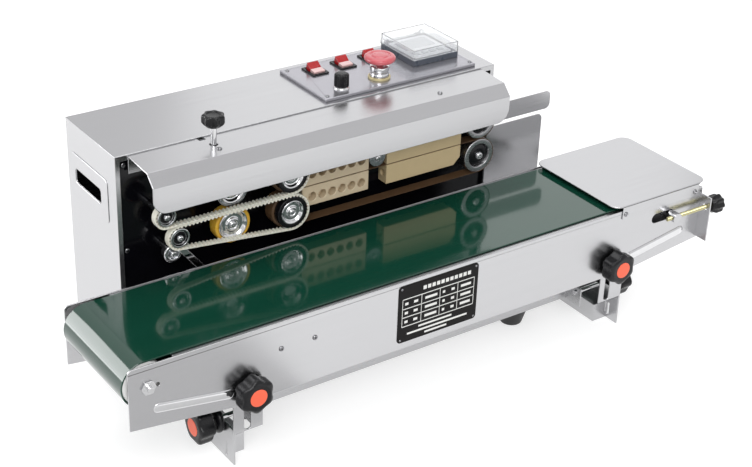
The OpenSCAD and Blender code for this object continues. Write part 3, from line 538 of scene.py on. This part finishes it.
def fan_guard():
    """The wire guard over the fan's hole in the rear cover."""
    low, high = box("fan_frame")
    middle = (low + high) / 2
    back = casing_high.y + 1.0
    sides, steps = 8, 48
    ring_wire, spoke_wire = 0.8, 0.9
    centre = Vector((middle.x, back - 1.0, middle.z))
    parts = []
    for radius in (9, 18, 27, 36, 42):
        profile = [(back + ring_wire * sin(a), radius + ring_wire * cos(a))
                   for a in (2 * pi * k / sides for k in range(sides))]
        rows, verts, faces = [], [], []
        for y, r in profile:
            rows.append([len(verts) + k for k in range(steps)])
            verts += [(middle.x + r * cos(2 * pi * k / steps), y,
                       middle.z + r * sin(2 * pi * k / steps)) for k in range(steps)]
        for i in range(sides):
            one, two = rows[i], rows[(i + 1) % sides]
            faces += [[one[k], one[(k + 1) % steps], two[(k + 1) % steps], two[k]]
                      for k in range(steps)]
        parts.append((verts, faces))
    for turn in range(4):
        angle = radians(45 + 90 * turn)
        along = Vector((cos(angle), 0, sin(angle)))
        across = Vector((-sin(angle), 0, cos(angle)))
        verts, faces = [], []
        for reach in (7.5, 52):
            for k in range(sides):
                a = 2 * pi * k / sides
                point = centre + along * reach + across * spoke_wire * cos(a)
                verts.append(tuple(point + Vector((0, spoke_wire * sin(a), 0))))
        faces += [[k, (k + 1) % sides, sides + (k + 1) % sides, sides + k] for k in range(sides)]
        faces += [list(range(sides)), list(range(sides, 2 * sides))]
        parts.append((verts, faces))
    verts, faces = merged(parts)
    build("fan_guard", verts, faces, "root", "bright_steel")


def inlet_pins():
    """The three flat pins in the mains inlet."""
    low, high = box("power_inlet")
    middle = (low + high) / 2
    for name, dx, dz in (("earth", 0, 2.6), ("live", -6.2, -2.2), ("neutral", 6.2, -2.2)):
        x, z = middle.x + dx, middle.z + dz
        pin = round_rect(z - 2, x - 1, z + 2, x + 1, 0.5)
        prism(f"inlet_pin_{name}", pin, "y", low.y + 3, 19, "root", "bright_steel", width=0.3)


handle_rims()
fan_guard()
inlet_pins()


# ---- Control panel -------------------------------------------

top = panel_high.z


def panel_border():
    """The thin printed line inside the panel's edge."""
    low, high = panel_low, panel_high
    outer = round_rect(low.x + 3.2, low.y + 3.2, high.x - 3.2, high.y - 3.2, 2.5)
    inner = round_rect(low.x + 3.9, low.y + 3.9, high.x - 3.9, high.y - 3.9, 1.8)
    frame_ring("panel_border_line", inner, outer, "z", top - 0.02, 0.08, "root", "steel")


def rocker_switches():
    """Rocker switches: bezels on the panel, and rockers that tip in them, their front halves in a
    paler red as a painted highlight.
    """
    tilt, half, edge = radians(11), 8, dict(width=0.45, segments=3)
    rear = [(-0.1, -3), (2, -3), (9.9, 2.5), (9.4, 10), (8.4, 10.2), (-0.1, 6.1)]
    front = [(-0.1, -3), (-0.1, 6.1), (-8.6, 7.0), (-9.5, 6.6), (-9.9, 2.5), (-2, -3)]

    def tipped(points, at):
        return [(at.y + y * cos(tilt) - z * sin(tilt),
                 at.z + y * sin(tilt) + z * cos(tilt)) for y, z in points]

    for i in (1, 2, 3):
        body = f"switch_{i}"
        at = AXIS_AT[body]
        outer = round_rect(at.x - 12, at.y - 14.5, at.x + 12, at.y + 14.5, 1.6)
        inner = round_rect(at.x - 8.5, at.y - 11, at.x + 8.5, at.y + 11, 1.0)
        frame_ring(f"switch_bezel_{i}", inner, outer, "z", top, 2.0, "root", "black_plastic",
                   width=0.5)
        start, wide = at.x - half, 2 * half
        prism(f"rocker_{i}_rear", tipped(rear, at), "x", start, wide, body, "red_plastic",
              f"rocker_{i}", **edge)
        # the front half takes the paler red: a painted highlight on the rocker's lit front slope
        prism(f"rocker_{i}_front", tipped(front, at), "x", start, wide, body, "red_painted_highlight", **edge)


def emergency_stop():
    """A mushroom head on a chromed neck over a yellow ring."""
    low, high = box("estop_button")
    middle = (low + high) / 2
    at = (middle.x, middle.y, 0)
    head = moved(high.z, [(-9, 5), (-9, 17), (-6.6, 19.6), (-3.2, 19.6), (-1.1, 17.4), (-0.7, 13.6),
                          (-1.6, 12.6), (-1.6, 10.6), (-0.6, 9.4), (-0.2, 5), (0, 0)])
    turned("estop_head", at, "z", [*moved(low.z, [(2, 0), (2, 5)]), *head], "estop", "stop_red",
           "estop_button", corner=1.2)
    neck = [(-1, 5.2), (-1, 12), (6, 12), (7, 11.2), (9, 11.2), (10, 12), (16, 12), (16, 5.2)]
    turned("estop_neck", at, "z", moved(top, neck), "root", "bright_steel", corner=0.5)
    ring = [(0, 12.2), (0, 14.2), (2.4, 14.2), (3, 13.4), (3, 12.2)]
    turned("estop_base_ring", at, "z", moved(top, ring), "root", "yellow_ring", corner=0.4)


def speed_control():
    """The fluted speed knob with the disc on its top, and its plated collar."""
    at = (*AXIS_AT["speed"].xy, 0)
    low, high = box("speed_knob")
    grip = [(low.z, 0), (low.z, 2), *moved(top, [(3.2, 2), (3.2, 9.3, 1.0)]),
            *moved(high.z, [(-2.2, 9.1, 1.0), (-1.4, 8.2, 0.5), (-0.9, 7.4), (-0.9, 0)])]
    turned("speed_grip", at, "z", grip, "speed", "black_plastic", "speed_knob", lobes=18,
           corner=0.5, steps=144)
    disc = moved(high.z, [(-1.2, 0), (-1.2, 6.8), (-0.3, 6.4), (-0.3, 0)])
    turned("speed_disc", at, "z", disc, "speed", "black_plastic", corner=0.3)
    collar = moved(top, [(0, 3), (0, 10.2), (1.6, 9.6), (3, 8.2), (3, 3)])
    turned("speed_collar", at, "z", collar, "root", "bright_steel", "control_collars", corner=0.4)


def controller_face():
    """What shows under the clear lid: a pale face with a greyer window and four blank keys."""
    lid_low, lid_high = box("controller_lid")
    margin, key, key_pitch = 6, 8, 12.2
    x0, x1, y0 = lid_low.x + margin, lid_high.x - margin, lid_low.y + margin
    z = top + 8
    prism("controller_face", round_rect(x0, y0, x1, y0 + 60, 3), "z", z - 0.1, 0.9,
          "root", "grey_face", width=0.3)
    prism("controller_window", round_rect(x0 + 6, y0 + 26, x1 - 6, y0 + 54, 1.5), "z", z + 0.5, 0.7,
          "root", "pale_window", width=0.2)
    for i in range(4):
        x = x0 + 7 + i * key_pitch
        outline = round_rect(x, y0 + 8, x + key, y0 + 8 + key, 1.6)
        prism(f"controller_key_{i + 1}", outline, "z", z + 0.5, 1.1, "root", "pale_key", width=0.35)


panel_border()
rocker_switches()
emergency_stop()
speed_control()
controller_face()


# ---- Sealing head --------------------------------------------

def chamfered(y0, y1, depth, edge):
    """The section of a plain belt with its edges chamfered, as (y, depth below the outer face)."""
    return [(y0 + edge, 0), (y1 - edge, 0), (y1, edge), (y1, depth - edge), (y1 - edge, depth),
            (y0 + edge, depth), (y0, depth - edge), (y0, edge)]


def belts():
    """The two smooth sealing bands and the two toothed guide belts."""
    drive, infeed = AXIS_AT["lower_drive"], AXIS_AT["lower_infeed"]
    upper = AXIS_AT["upper_drive"]
    band_r = drive.z - band_low.z
    ends = [((drive.x, z), (infeed.x, z)) for z in (drive.z, upper.z)]
    band_thick, band_edge = 0.4, 0.08
    section = chamfered(band_low.y, band_high.y, band_thick, band_edge)
    loops = [belt_mesh(walk(a, band_r, b, band_r, 20, 2)[0], lambda s: section) for a, b in ends]
    verts, faces = merged(loops)
    build("sealing_band_pair", verts, faces, "root", "ptfe", "seal_bands")
    pitch, tooth, back, edge, slope = 5.0, 1.7, 1.3, 0.25, 2.6
    loops = []
    for guide, wheel, radius in (("lower_guide", "lower_drive", 15.6),
                                 ("upper_guide", "upper_drive", 15.2)):
        a, b = AXIS_AT[guide], AXIS_AT[wheel]
        total = walk((a.x, a.z), radius, (b.x, b.z), band_r, 1, 1)[1]
        count = round(total / pitch)
        path, total = walk((a.x, a.z), radius, (b.x, b.z), band_r, pitch / 8, pitch / 8)

        def toothed(distance):
            phase = (distance / total * count) % 1
            rise = min(1, max(0, (0.5 - abs(2 * phase - 1)) * slope + 0.5))
            return chamfered(guide_low.y, guide_high.y, back + tooth * rise, edge)

        loops.append(belt_mesh(path, toothed))
    verts, faces = merged(loops)
    build("toothed_guide_belts", verts, faces, "root", "cream_belt", "guide_belts")


def dished_cap(name, face_y, radius, body):
    """A plated cap with concentric steps and a screw in a wheel's face. Its front is at face_y."""
    at, r, thick, seat = AXIS_AT[body], radius, 4.5, 1.8
    turned(name, (at.x, face_y, at.z), "y",
           [(thick, 0), (thick, r), (0.4, r), (0, r * 0.93), (1.6, r * 0.80), (3.2, r * 0.72),
            (3.2, r * 0.50), (1.2, r * 0.44), (0.9, r * 0.32), (seat, r * 0.27), (seat, 0)],
           body, "bright_steel", corner=0.9)
    screws(name + "_screw", [((at.x, face_y + seat, at.z), (0, -1, 0), r * 0.22, 20)], body,
           "bright_steel")


def axle(name, x, z, radius, front_y, back_y):
    """A fixed axle with a chamfer and a cross-head screw at its front end."""
    edge = 0.5
    profile = [(front_y, 0), (front_y, radius - edge), (front_y + edge, radius), (back_y, radius),
               (back_y, 0)]
    turned(name, (x, 0, z), "y", profile, "root", "steel", corner=0.2, steps=40)
    screws(name + "_screw", [((x, front_y, z), (0, -1, 0), radius - 0.3, 25)], "root",
           "bright_steel")


def fixed_axles():
    """The axles that the guide, idler, press and infeed wheels turn on."""
    back_y, clearance = box("wheel_axles")[1].y, 0.02
    for body, radius, front_y in (("lower_guide", 4, 4.4), ("upper_guide", 4, 4.4),
                                  ("idler", 4, 16.6), ("press", 4, 14.6),
                                  ("lower_infeed", 5, 14.6), ("upper_infeed", 5, 14.6)):
        at = AXIS_AT[body]
        axle(body + "_axle", at.x, at.z, radius - clearance, front_y, back_y)
    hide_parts("wheel_axles")


def drive_wheels():
    """The drive wheels: a band wheel with a rubber tread in front of it, and a dished cap."""
    tread = moved(HEAD_FRONT, [(0.3, 15.5), (0.3, 19.8), (0.8, 20.4), (9.9, 20.4), (9.9, 15.5)])
    rim = [*moved(HEAD_FRONT, [(9.9, 0), (9.9, 22.2), (10.5, 22.8)]),
           *moved(BAND_BACK, [(-0.6, 22.8), (0, 22.2), (0, 6)]), (62, 6), (62, 0)]
    for body in ("lower_drive", "upper_drive"):
        node = body + "_wheel"
        wheel(node + "_rubber", tread, body, "black_plastic", node, corner=0.4)
        wheel(node + "_band_wheel", rim, body, "ptfe", corner=0.5)
        dished_cap(node + "_dish", HEAD_FRONT + 0.1, 15.4, body)


def emboss_rolls():
    """The embossing rolls: the lower is plain and amber, the upper is ribbed steel."""
    hub = [(61, 6), (61, 0)]
    lower = moved(BAND_FRONT, [(4, 0), (4, 19.2), (0, 19.2), (0, 22.6), (0.8, 23.4), (14.2, 23.4),
                               (15, 22.6), (15, 6)])
    wheel("emboss_roll_lower", lower + hub, "lower_emboss", "amber", "lower_emboss_wheel",
          corner=0.5)
    dished_cap("emboss_roll_lower_dish", BAND_FRONT - 1.4, 19.0, "lower_emboss")
    upper = moved(BAND_FRONT, [(4, 0), (4, 16.6), (0, 16.6), (0, 20.0), (0.8, 21.0, 0.5),
                               (14.2, 21.0, 0.5), (15, 20.0), (15, 6)])
    wheel("emboss_roll_upper", upper + hub, "upper_emboss", "steel", "upper_emboss_wheel", lobes=64,
          corner=0.3, steps=384)
    dished_cap("emboss_roll_upper_dish", BAND_FRONT - 0.2, 16.4, "upper_emboss")


def guide_pulleys():
    """The pulleys of the toothed belts, each with a rim, a black bearing and its race."""
    race = moved(HEAD_FRONT, [(2.3, 7.8), (2.3, 8.8), (1.5, 8.6), (1.5, 8.0)])
    for body, r in (("lower_guide", 12.3), ("upper_guide", 11.9)):
        rim = [(-0.2, r - 2.2), (-0.2, r - 0.5), (0.3, r), (9.5, r), (9.5, 4.1), (4.5, 4.1),
               (4.5, r - 3.0), (1.5, r - 2.2)]
        wheel(body + "_rim", moved(HEAD_FRONT, rim), body, "bright_steel", body + "_pulley",
              corner=0.3)
        bearing = [(4.4, 4.15), (4.4, r - 3.1), (2.2, r - 3.4), (2.2, 7.6), (1.2, 7.2), (1.2, 5.9),
                   (2.6, 5.4), (2.6, 4.15)]
        wheel(body + "_bearing", moved(HEAD_FRONT, bearing), body, "black_plastic", corner=0.25)
        wheel(body + "_race", race, body, "bright_steel", corner=0.2)


def infeed_wheels():
    """The wheels that the sealing bands turn back on at the infeed end."""
    rim = [*moved(BAND_FRONT, [(0, 16.5), (0, 22.2), (0.6, 22.8)]),
           *moved(BAND_BACK, [(-0.6, 22.8), (0, 22.2), (0, 5.05)]),
           *moved(BAND_FRONT, [(3, 5.05), (3, 8), (4.5, 9), (4.5, 15)])]
    bearing = moved(BAND_FRONT, [(3.4, 5.1), (3.4, 14.8), (2.4, 14.2), (1.4, 9.2), (1.4, 5.1)])
    for body in ("lower_infeed", "upper_infeed"):
        wheel(body + "_rim", rim, body, "stainless_soft", body + "_wheel", corner=0.5)
        wheel(body + "_bearing", bearing, body, "black_plastic", corner=0.3)


def idler_roll():
    """The small idler between the bands."""
    low, high = box("idler_ring")
    roll = [*moved(low.y, [(0, 7.4), (0, 10.6), (0.8, 11.5)]),
            *moved(high.y, [(-0.8, 11.5), (0, 10.6), (0, 4.1)]),
            *moved(low.y, [(3, 4.1), (3, 6.4)])]
    wheel("idler_roll", roll, "idler", "bright_steel", "idler_ring", corner=0.5)


belts()
fixed_axles()
drive_wheels()
emboss_rolls()
guide_pulleys()
infeed_wheels()
idler_roll()


# ---- Hand knobs ----------------------------------------------

def clamp_knob(name, axis, sign, face, at, stud_end, body, node):
    """A six-lobed clamp knob with an orange cap. face is where its cap is along the axis, and sign
    points outwards."""
    def profile(points):
        return [(face - sign * p[0], *p[1:]) for p in points]

    length, stud = abs(face - stud_end), 3
    turned(name + "_grip", at, axis,
           profile([(0.5, 0), (0.5, 12.4), (0.3, 15.4), (0.9, 18.2, 1.2), (2.4, 21.2, 2.8),
                    (4.8, 22, 3.5), (17.2, 22, 3.5), (19.6, 20.6, 2.6), (20.5, 16, 0.5), (20.7, 10),
                    (22.0, 10), (22.4, 9.4), (22.4, 0)]),
           body, "black_plastic", node, lobes=6, corner=1.8, steps=120)
    turned(name + "_cap", at, axis,
           profile([(0.6, 0), (0.6, 10.8), (0.1, 10.4), (0.0, 8.0), (0.0, 0)]),
           body, "orange_cap", corner=0.6, steps=60)
    turned(name + "_stud", at, axis, profile([(21, 0), (21, stud), (length, stud), (length, 0)]),
           body, "bright_steel", corner=0.4, steps=32)


def lobed_knob(name, axis, base, face, at, radius, lobes, body, node):
    """A plain black lobed knob between base and face along an axis, with a shallow dish in it."""
    depth = face - base
    r, flute, dish = radius, radius * 0.18, face - depth * 0.10
    turned(name, at, axis,
           [(base, 0), (base, r * 0.62), (base + depth * 0.18, r * 0.86, flute * 0.5),
            (base + depth * 0.36, r, flute), (base + depth * 0.86, r, flute),
            (base + depth * 0.97, r * 0.90, flute * 0.7), (face, r * 0.74, flute * 0.2),
            (face, r * 0.60), (dish, r * 0.54), (dish, 0)],
           body, "black_plastic", node, lobes=lobes, corner=1.0, steps=lobes * 18)


def clamp_knobs():
    """The front and side clamp knobs of both arms, and the washers under the side ones."""
    for side in ("left", "right"):
        low, high = box(f"{side}_front_knob")
        at = (low + high) / 2
        clamp_knob(f"{side}_front_clamp_knob", "y", -1, low.y, (at.x, 0, at.z), high.y,
                   f"{side}_front_clamp", f"{side}_front_knob")
        low, high = box(f"{side}_side_knob")
        at = (low + high) / 2
        sign, face, end = (-1, low.x, high.x) if side == "left" else (1, high.x, low.x)
        clamp_knob(f"{side}_side_clamp_knob", "x", sign, face, (0, at.y, at.z), end,
                   f"{side}_side_clamp", f"{side}_side_knob")
        plate = box("left_arm")[0].x if side == "left" else box("right_arm")[1].x
        inner, outer = plate + sign * 0.4, plate + sign * 8.9
        turned(f"{side}_side_clamp_washer", (0, at.y, at.z), "x",
               [(inner, 3.1), (inner, 14.5), (inner + sign * 2, 16), (outer - sign * 3, 16),
                (outer, 12.5), (outer, 3.1)],
               f"{side}_side_clamp", "black_plastic", corner=1.4)


def pressure_knob():
    """The knob on top of the sealing head, with its stem."""
    low, high = box("pressure_knob")
    at, stem_top, stem = AXIS_AT["pressure"], high.z - 10, 3.5
    lobed_knob("pressure_grip", "z", high.z - 15, high.z, (at.x, at.y, 0), 13.8, 7,
               "pressure", "pressure_knob")
    turned("pressure_stem", (at.x, at.y, 0), "z",
           [(low.z, 0), (low.z, stem), (stem_top, stem), (stem_top, 0)],
           "pressure", "bright_steel", corner=0.5, steps=32)


def tension_knob():
    """The knob that tightens the conveyor belt, with its threaded rod."""
    low, high = box("tension_knob")
    at, rod_end = AXIS_AT["tension"], high.x - 17
    lobed_knob("tension_grip", "x", high.x - 19, high.x, (0, at.y, at.z), 12.8, 8,
               "tension", "tension_knob")
    pitch, crest, root = 1.0, 3.0, 2.55
    thread = [(low.x, 0), (low.x, 2.4)]
    x = low.x + 0.6
    while x < high.x - 20:
        thread += [(x, crest), (x + pitch / 2, root)]
        x += pitch
    turned("tension_rod", (0, at.y, at.z), "x", [*thread, (rod_end, 2.6), (rod_end, 0)],
           "tension", "zinc", corner=0.05, steps=24)


clamp_knobs()
pressure_knob()
tension_knob()


# ---- Conveyor ------------------------------------------------

def conveyor_belt():
    """The green belt, with chamfered edges."""
    drive, tail = AXIS_AT["drive_roll"], AXIS_AT["tail_roll"]
    radius = (belt_high.z - belt_low.z) / 2
    path = walk((drive.x, drive.z), radius, (tail.x, tail.z), radius, 12, 1.6)[0]
    thick, edge = 1.8, 0.45
    section = chamfered(belt_low.y, belt_high.y, thick, edge)
    verts, faces = belt_mesh(path, lambda s: section)
    build("green_conveyor_belt", verts, faces, "conveyor", "green_belt", "conveyor_belt")


def beads():
    """The long rounded ridges pressed into both side plates beside the tapered ends."""
    half_l, half_w, proud, steps = 43.5, 6.2, 2.2, 8
    inset, lift, slant, buried = 77, 27, 9.3, 0.8
    turns = 13  # points round each end
    ring = 2 * turns
    back = box("rear_side_plate")[1].y - PLATE_RIDGE
    for face, base, out in (("front", plate_low.y + PLATE_RIDGE, -1), ("rear", back, 1)):
        for side, x, tilt in (("left", plate_low.x + inset, -slant),
                              ("right", plate_high.x - inset, slant)):
            centre = Vector((x, plate_low.z + lift))
            along = Vector((cos(radians(tilt)), sin(radians(tilt))))
            across = Vector((-along.y, along.x))
            verts, faces = [], []
            for level in range(-1, steps):
                t = radians(85) * max(0, level) / (steps - 1)
                y = base + out * (proud * sin(t) if level >= 0 else -buried)
                radius = half_w * cos(t)
                for end in (1, -1):
                    for k in range(turns):
                        a = radians(-90 + 15 * k)
                        length = half_l + radius * cos(a)
                        point = centre + end * (along * length + across * radius * sin(a))
                        verts.append((point.x, y, point.y))
            for level in range(steps):
                for k in range(ring):
                    one, two = level * ring + k, level * ring + (k + 1) % ring
                    faces.append([one, two, two + ring, one + ring])
            faces += [list(range(ring)), [steps * ring + k for k in range(ring)]]
            # the ridges take bright_steel, paler and glossier than the plate's stainless: its paler
            # colour is a painted highlight along them
            build(f"{face}_bead_{side}", verts, faces, "conveyor", "bright_steel")


def tail_caps():
    """Dark bearing covers on the ends of the tail roller, seen through the slots."""
    low, high = box("tail_roller")
    middle = (low + high) / 2
    for end, y, out in (("front", low.y, -1), ("rear", high.y, 1)):
        turned(f"tail_roller_cap_{end}", (middle.x, 0, middle.z), "y",
               [(y - out * 0.5, 6.4), (y - out * 0.5, 24), (y + out * 0.6, 23), (y + out * 0.6, 9),
                (y + out * 0.2, 6.4)],
               "tail_roll", "rubber_black", corner=0.4)


def plate_print():
    """A generic data table on the nameplate: ruled lines and blank bars, no lettering."""
    low, high = box("nameplate")
    wide, tall = high.x - low.x, high.z - low.z
    face, thick = low.y - 0.06, 0.1

    def bar(u0, v0, u1, v1):
        """A bar between shares of the plate's width and height, from its upper left corner."""
        x0, x1 = low.x + wide * u0, low.x + wide * u1
        z0, z1 = high.z - tall * v0, high.z - tall * v1
        corners = ((x0, z0), (x1, z0), (x1, z1), (x0, z1))
        return ([(x, y, z) for y in (face, face + thick) for x, z in corners],
                [[0, 1, 2, 3], [4, 5, 6, 7], [0, 1, 5, 4], [1, 2, 6, 5], [2, 3, 7, 6], [3, 0, 4, 7]])

    rows, columns = [0.24, 0.41, 0.56, 0.72], [0.05, 0.285, 0.515, 0.74, 0.95]
    parts = [bar(columns[0], v - 0.007, columns[-1], v + 0.007) for v in rows]
    parts += [bar(u - 0.003, rows[0], u + 0.003, rows[-1]) for u in columns]
    entries = ((0.08, 0.12), (0.19, 0.24), (0.33, 0.48), (0.55, 0.58), (0.66, 0.70), (0.78, 0.91))
    for top_v, bottom_v in zip(rows, rows[1:]):
        middle = (top_v + bottom_v) / 2
        parts += [bar(u0, middle - 0.022, u1, middle + 0.022) for u0, u1 in entries]
    for k in range(11):
        left = 0.30 + k * 0.056
        parts.append(bar(left, 0.10, left + 0.040, 0.165))
    for v, u0, u1 in ((0.79, 0.26, 0.68), (0.865, 0.12, 0.88), (0.935, 0.34, 0.62)):
        parts.append(bar(u0, v - 0.016, u1, v + 0.016))
    verts, faces = merged(parts)
    build("nameplate_print", verts, faces, "conveyor", "white_print")


def casing_screws():
    """Cross-head screws of the casing, where the CAD has its screws."""
    left, right, back = casing_low.x, casing_high.x, casing_high.y
    forwards, rearwards, upwards = (0, -1, 0), (0, 1, 0), (0, 0, 1)
    heads = []
    for x in (panel_low.x + 7, panel_high.x - 4):
        for y in (panel_low.y + 7, panel_high.y - 7):
            heads.append(((x, y, top), upwards, 2.6, 25))
    front_y = box("front_panel")[0].y
    for x in (left + 12, left + 222, right - 12):
        heads.append(((x, front_y, casing_high.z - 14), forwards, CASE_SCREW, 10))
    for x in (left + 12, right - 12):
        for z in (80, casing_high.z - 123):
            heads.append(((x, front_y, z), forwards, CASE_SCREW, 60))
        for z in (80, casing_high.z - 14):
            heads.append(((x, back, z), rearwards, CASE_SCREW, 35))
    guard_screw_y = box("rear_side_plate")[1].y + 4.8
    for x in (left + 114, left + 425):
        heads.append(((x, guard_screw_y, cover_high.z - 1.3), upwards, CASE_SCREW, 45))
    # the heads take the darker screw steel: painted shade for the shade in their recesses
    screws("casing_screws", heads, "root", "screw_steel_painted_shade", "panel_screws")


def conveyor_screws():
    """Cross-head screws of the side plate, the infeed tray and the nameplate."""
    low, high = box("nameplate")
    tray_low, tray_high = box("infeed_tray")
    plate_face, forwards = plate_low.y + PLATE_RIDGE, (0, -1, 0)
    heads = [((x, plate_face, plate_low.z + 56.6), forwards, CASE_SCREW, 15)
             for x in (plate_low.x + 187, plate_low.x + 231)]
    heads += [((x, plate_face - 1.8, tray_high.z - 12), forwards, CASE_SCREW, 50)
              for x in (tray_low.x + 19, plate_high.x - 16)]
    heads += [((x, low.y, z), forwards, 1.5, 0)
              for x in (low.x + 4, high.x - 4) for z in (low.z + 4, high.z - 4)]
    # the heads take the darker screw steel: painted shade for the shade in their recesses
    screws("conveyor_screw_heads", heads, "conveyor", "screw_steel_painted_shade", "conveyor_screws")


def clamp_nuts():
    """The hexagon nuts behind the front clamp knobs."""
    thick = 5
    front_y = box("conveyor_screws")[1].y - thick
    for side in ("left", "right"):
        at = AXIS_AT[f"{side}_front_clamp"]
        hole, outside = ([(at.z + reach * cos(radians(60 * k)),
                           at.x + reach * sin(radians(60 * k))) for k in range(6)]
                         for reach in (3.1, 5.8))
        frame_ring(f"{side}_clamp_nut", hole, outside, "y", front_y, thick, "conveyor",
                   "bright_steel", width=0.3)


conveyor_belt()
beads()
tail_caps()
plate_print()
casing_screws()
conveyor_screws()
clamp_nuts()


# ---- Stage, light and camera ---------------------------------

def sheet(name, corners, paper):
    """A flat sheet of paper with four corners, in metres."""
    mesh = bpy.data.meshes.new(name)
    mesh.from_pydata(corners, [], [(0, 1, 2, 3)])
    plane = put(name, mesh)
    plane.data.materials.append(paper)
    return plane


def floor():
    """The white paper the machine stands on."""
    reach = 6.0
    paper = surface("floor_paper", (0.50, 0.50, 0.50), 0.9, 0.0, 0.004, 0.02, grain=(3, 3, 3),
                    Specular_IOR_Level=0.1, Emission_Color=(1, 1, 1, 1), Emission_Strength=0.6)
    corners = [(reach * x, reach * y, 0) for x, y in ((-1, -1), (1, -1), (1, 1), (-1, 1))]
    plane = sheet("floor", corners, paper)


def grey_card():
    """A grey card on the floor at the left that shows in reflections only."""
    paper = surface("card_paper", (0.30, 0.30, 0.30), 0.9, 0.0, 0.004, 0.02, grain=(3, 3, 3),
                    Emission_Color=(1, 1, 1, 1), Emission_Strength=0.35)
    outline = ((-0.95, -1.3), (-0.12, -1.3), (-0.15, -0.2), (-0.95, -0.2))
    card = sheet("grey_card", [(x, y, 0.001) for x, y in outline], paper)
    card.visible_camera = False
    card.visible_shadow = False
    card.visible_diffuse = False


def softbox(name, place, aim, wide, tall, radiance, diffuse=True):
    """A soft rectangular lamp that the camera doesn't see. Without diffuse it shows only in glossy
    reflections."""
    light = bpy.data.lights.new(name, "AREA")
    light.shape = "RECTANGLE"
    light.size, light.size_y = wide, tall
    light.energy = radiance * pi * wide * tall
    lamp = put(name, light)
    lamp.location = place
    lamp.rotation_euler = (Vector(aim) - Vector(place)).to_track_quat("-Z", "Y").to_euler()
    lamp.visible_camera = False
    lamp.visible_diffuse = diffuse


def room():
    """A pale room: brighter overhead, greyer towards the horizon."""
    world = bpy.data.worlds.new("room")
    bpy.context.scene.world = world
    world.use_nodes = True
    nodes, links = world.node_tree.nodes, world.node_tree.links
    place = nodes.new("ShaderNodeTexCoord")
    split = nodes.new("ShaderNodeSeparateXYZ")
    ramp = nodes.new("ShaderNodeValToRGB")
    links.new(place.outputs["Generated"], split.inputs["Vector"])
    links.new(split.outputs["Z"], ramp.inputs["Fac"])
    links.new(ramp.outputs["Color"], nodes["Background"].inputs["Color"])
    stops = ramp.color_ramp.elements
    lowest, highest = stops
    lowest.position, lowest.color = 0.0, (0.86, 0.86, 0.88, 1)
    highest.position, highest.color = 1.0, (0.80, 0.80, 0.81, 1)
    for position, value in ((0.22, 0.80), (0.45, 0.88), (0.70, 0.98), (0.85, 0.62)):
        stop = stops.new(position)
        stop.color = (value, value, value * 1.01, 1)
    nodes["Background"].inputs["Strength"].default_value = 1.0


def camera():
    """The view of the machine from its left front, looking down."""
    data = bpy.data.cameras.new("camera")
    data.sensor_width = 36
    data.lens = 75.13
    eye = put("camera", data)
    right = Vector((0.82148856, -0.56926596, 0.03305785))
    up = Vector((0.24779358, 0.40859423, 0.8784356))
    back = right.cross(up)
    turn = Matrix((right, up, back)).transposed()
    eye.matrix_world = Matrix.Translation((-1.0113, -1.3945, 1.0783)) @ turn.to_4x4()
    bpy.context.scene.camera = eye


floor()
grey_card()
softbox("key", (-1.4, -2.2, 2.4), (0, 0, 0.2), 2.2, 1.6, 6.2)
softbox("overhead", (0.2, 0.4, 2.8), (0, 0, 0.2), 2.4, 1.6, 2.8)
softbox("behind", (0.85, 0.95, 0.75), (0.2, 0.1, 0.3), 1.1, 0.9, 0.45)
softbox("side strip", (-1.08, 0.66, 0.40), (-0.43, -0.07, 0.15), 0.65, 0.75, 5.5, False)
room()
camera()
bpy.context.scene.view_settings.view_transform = "Standard"
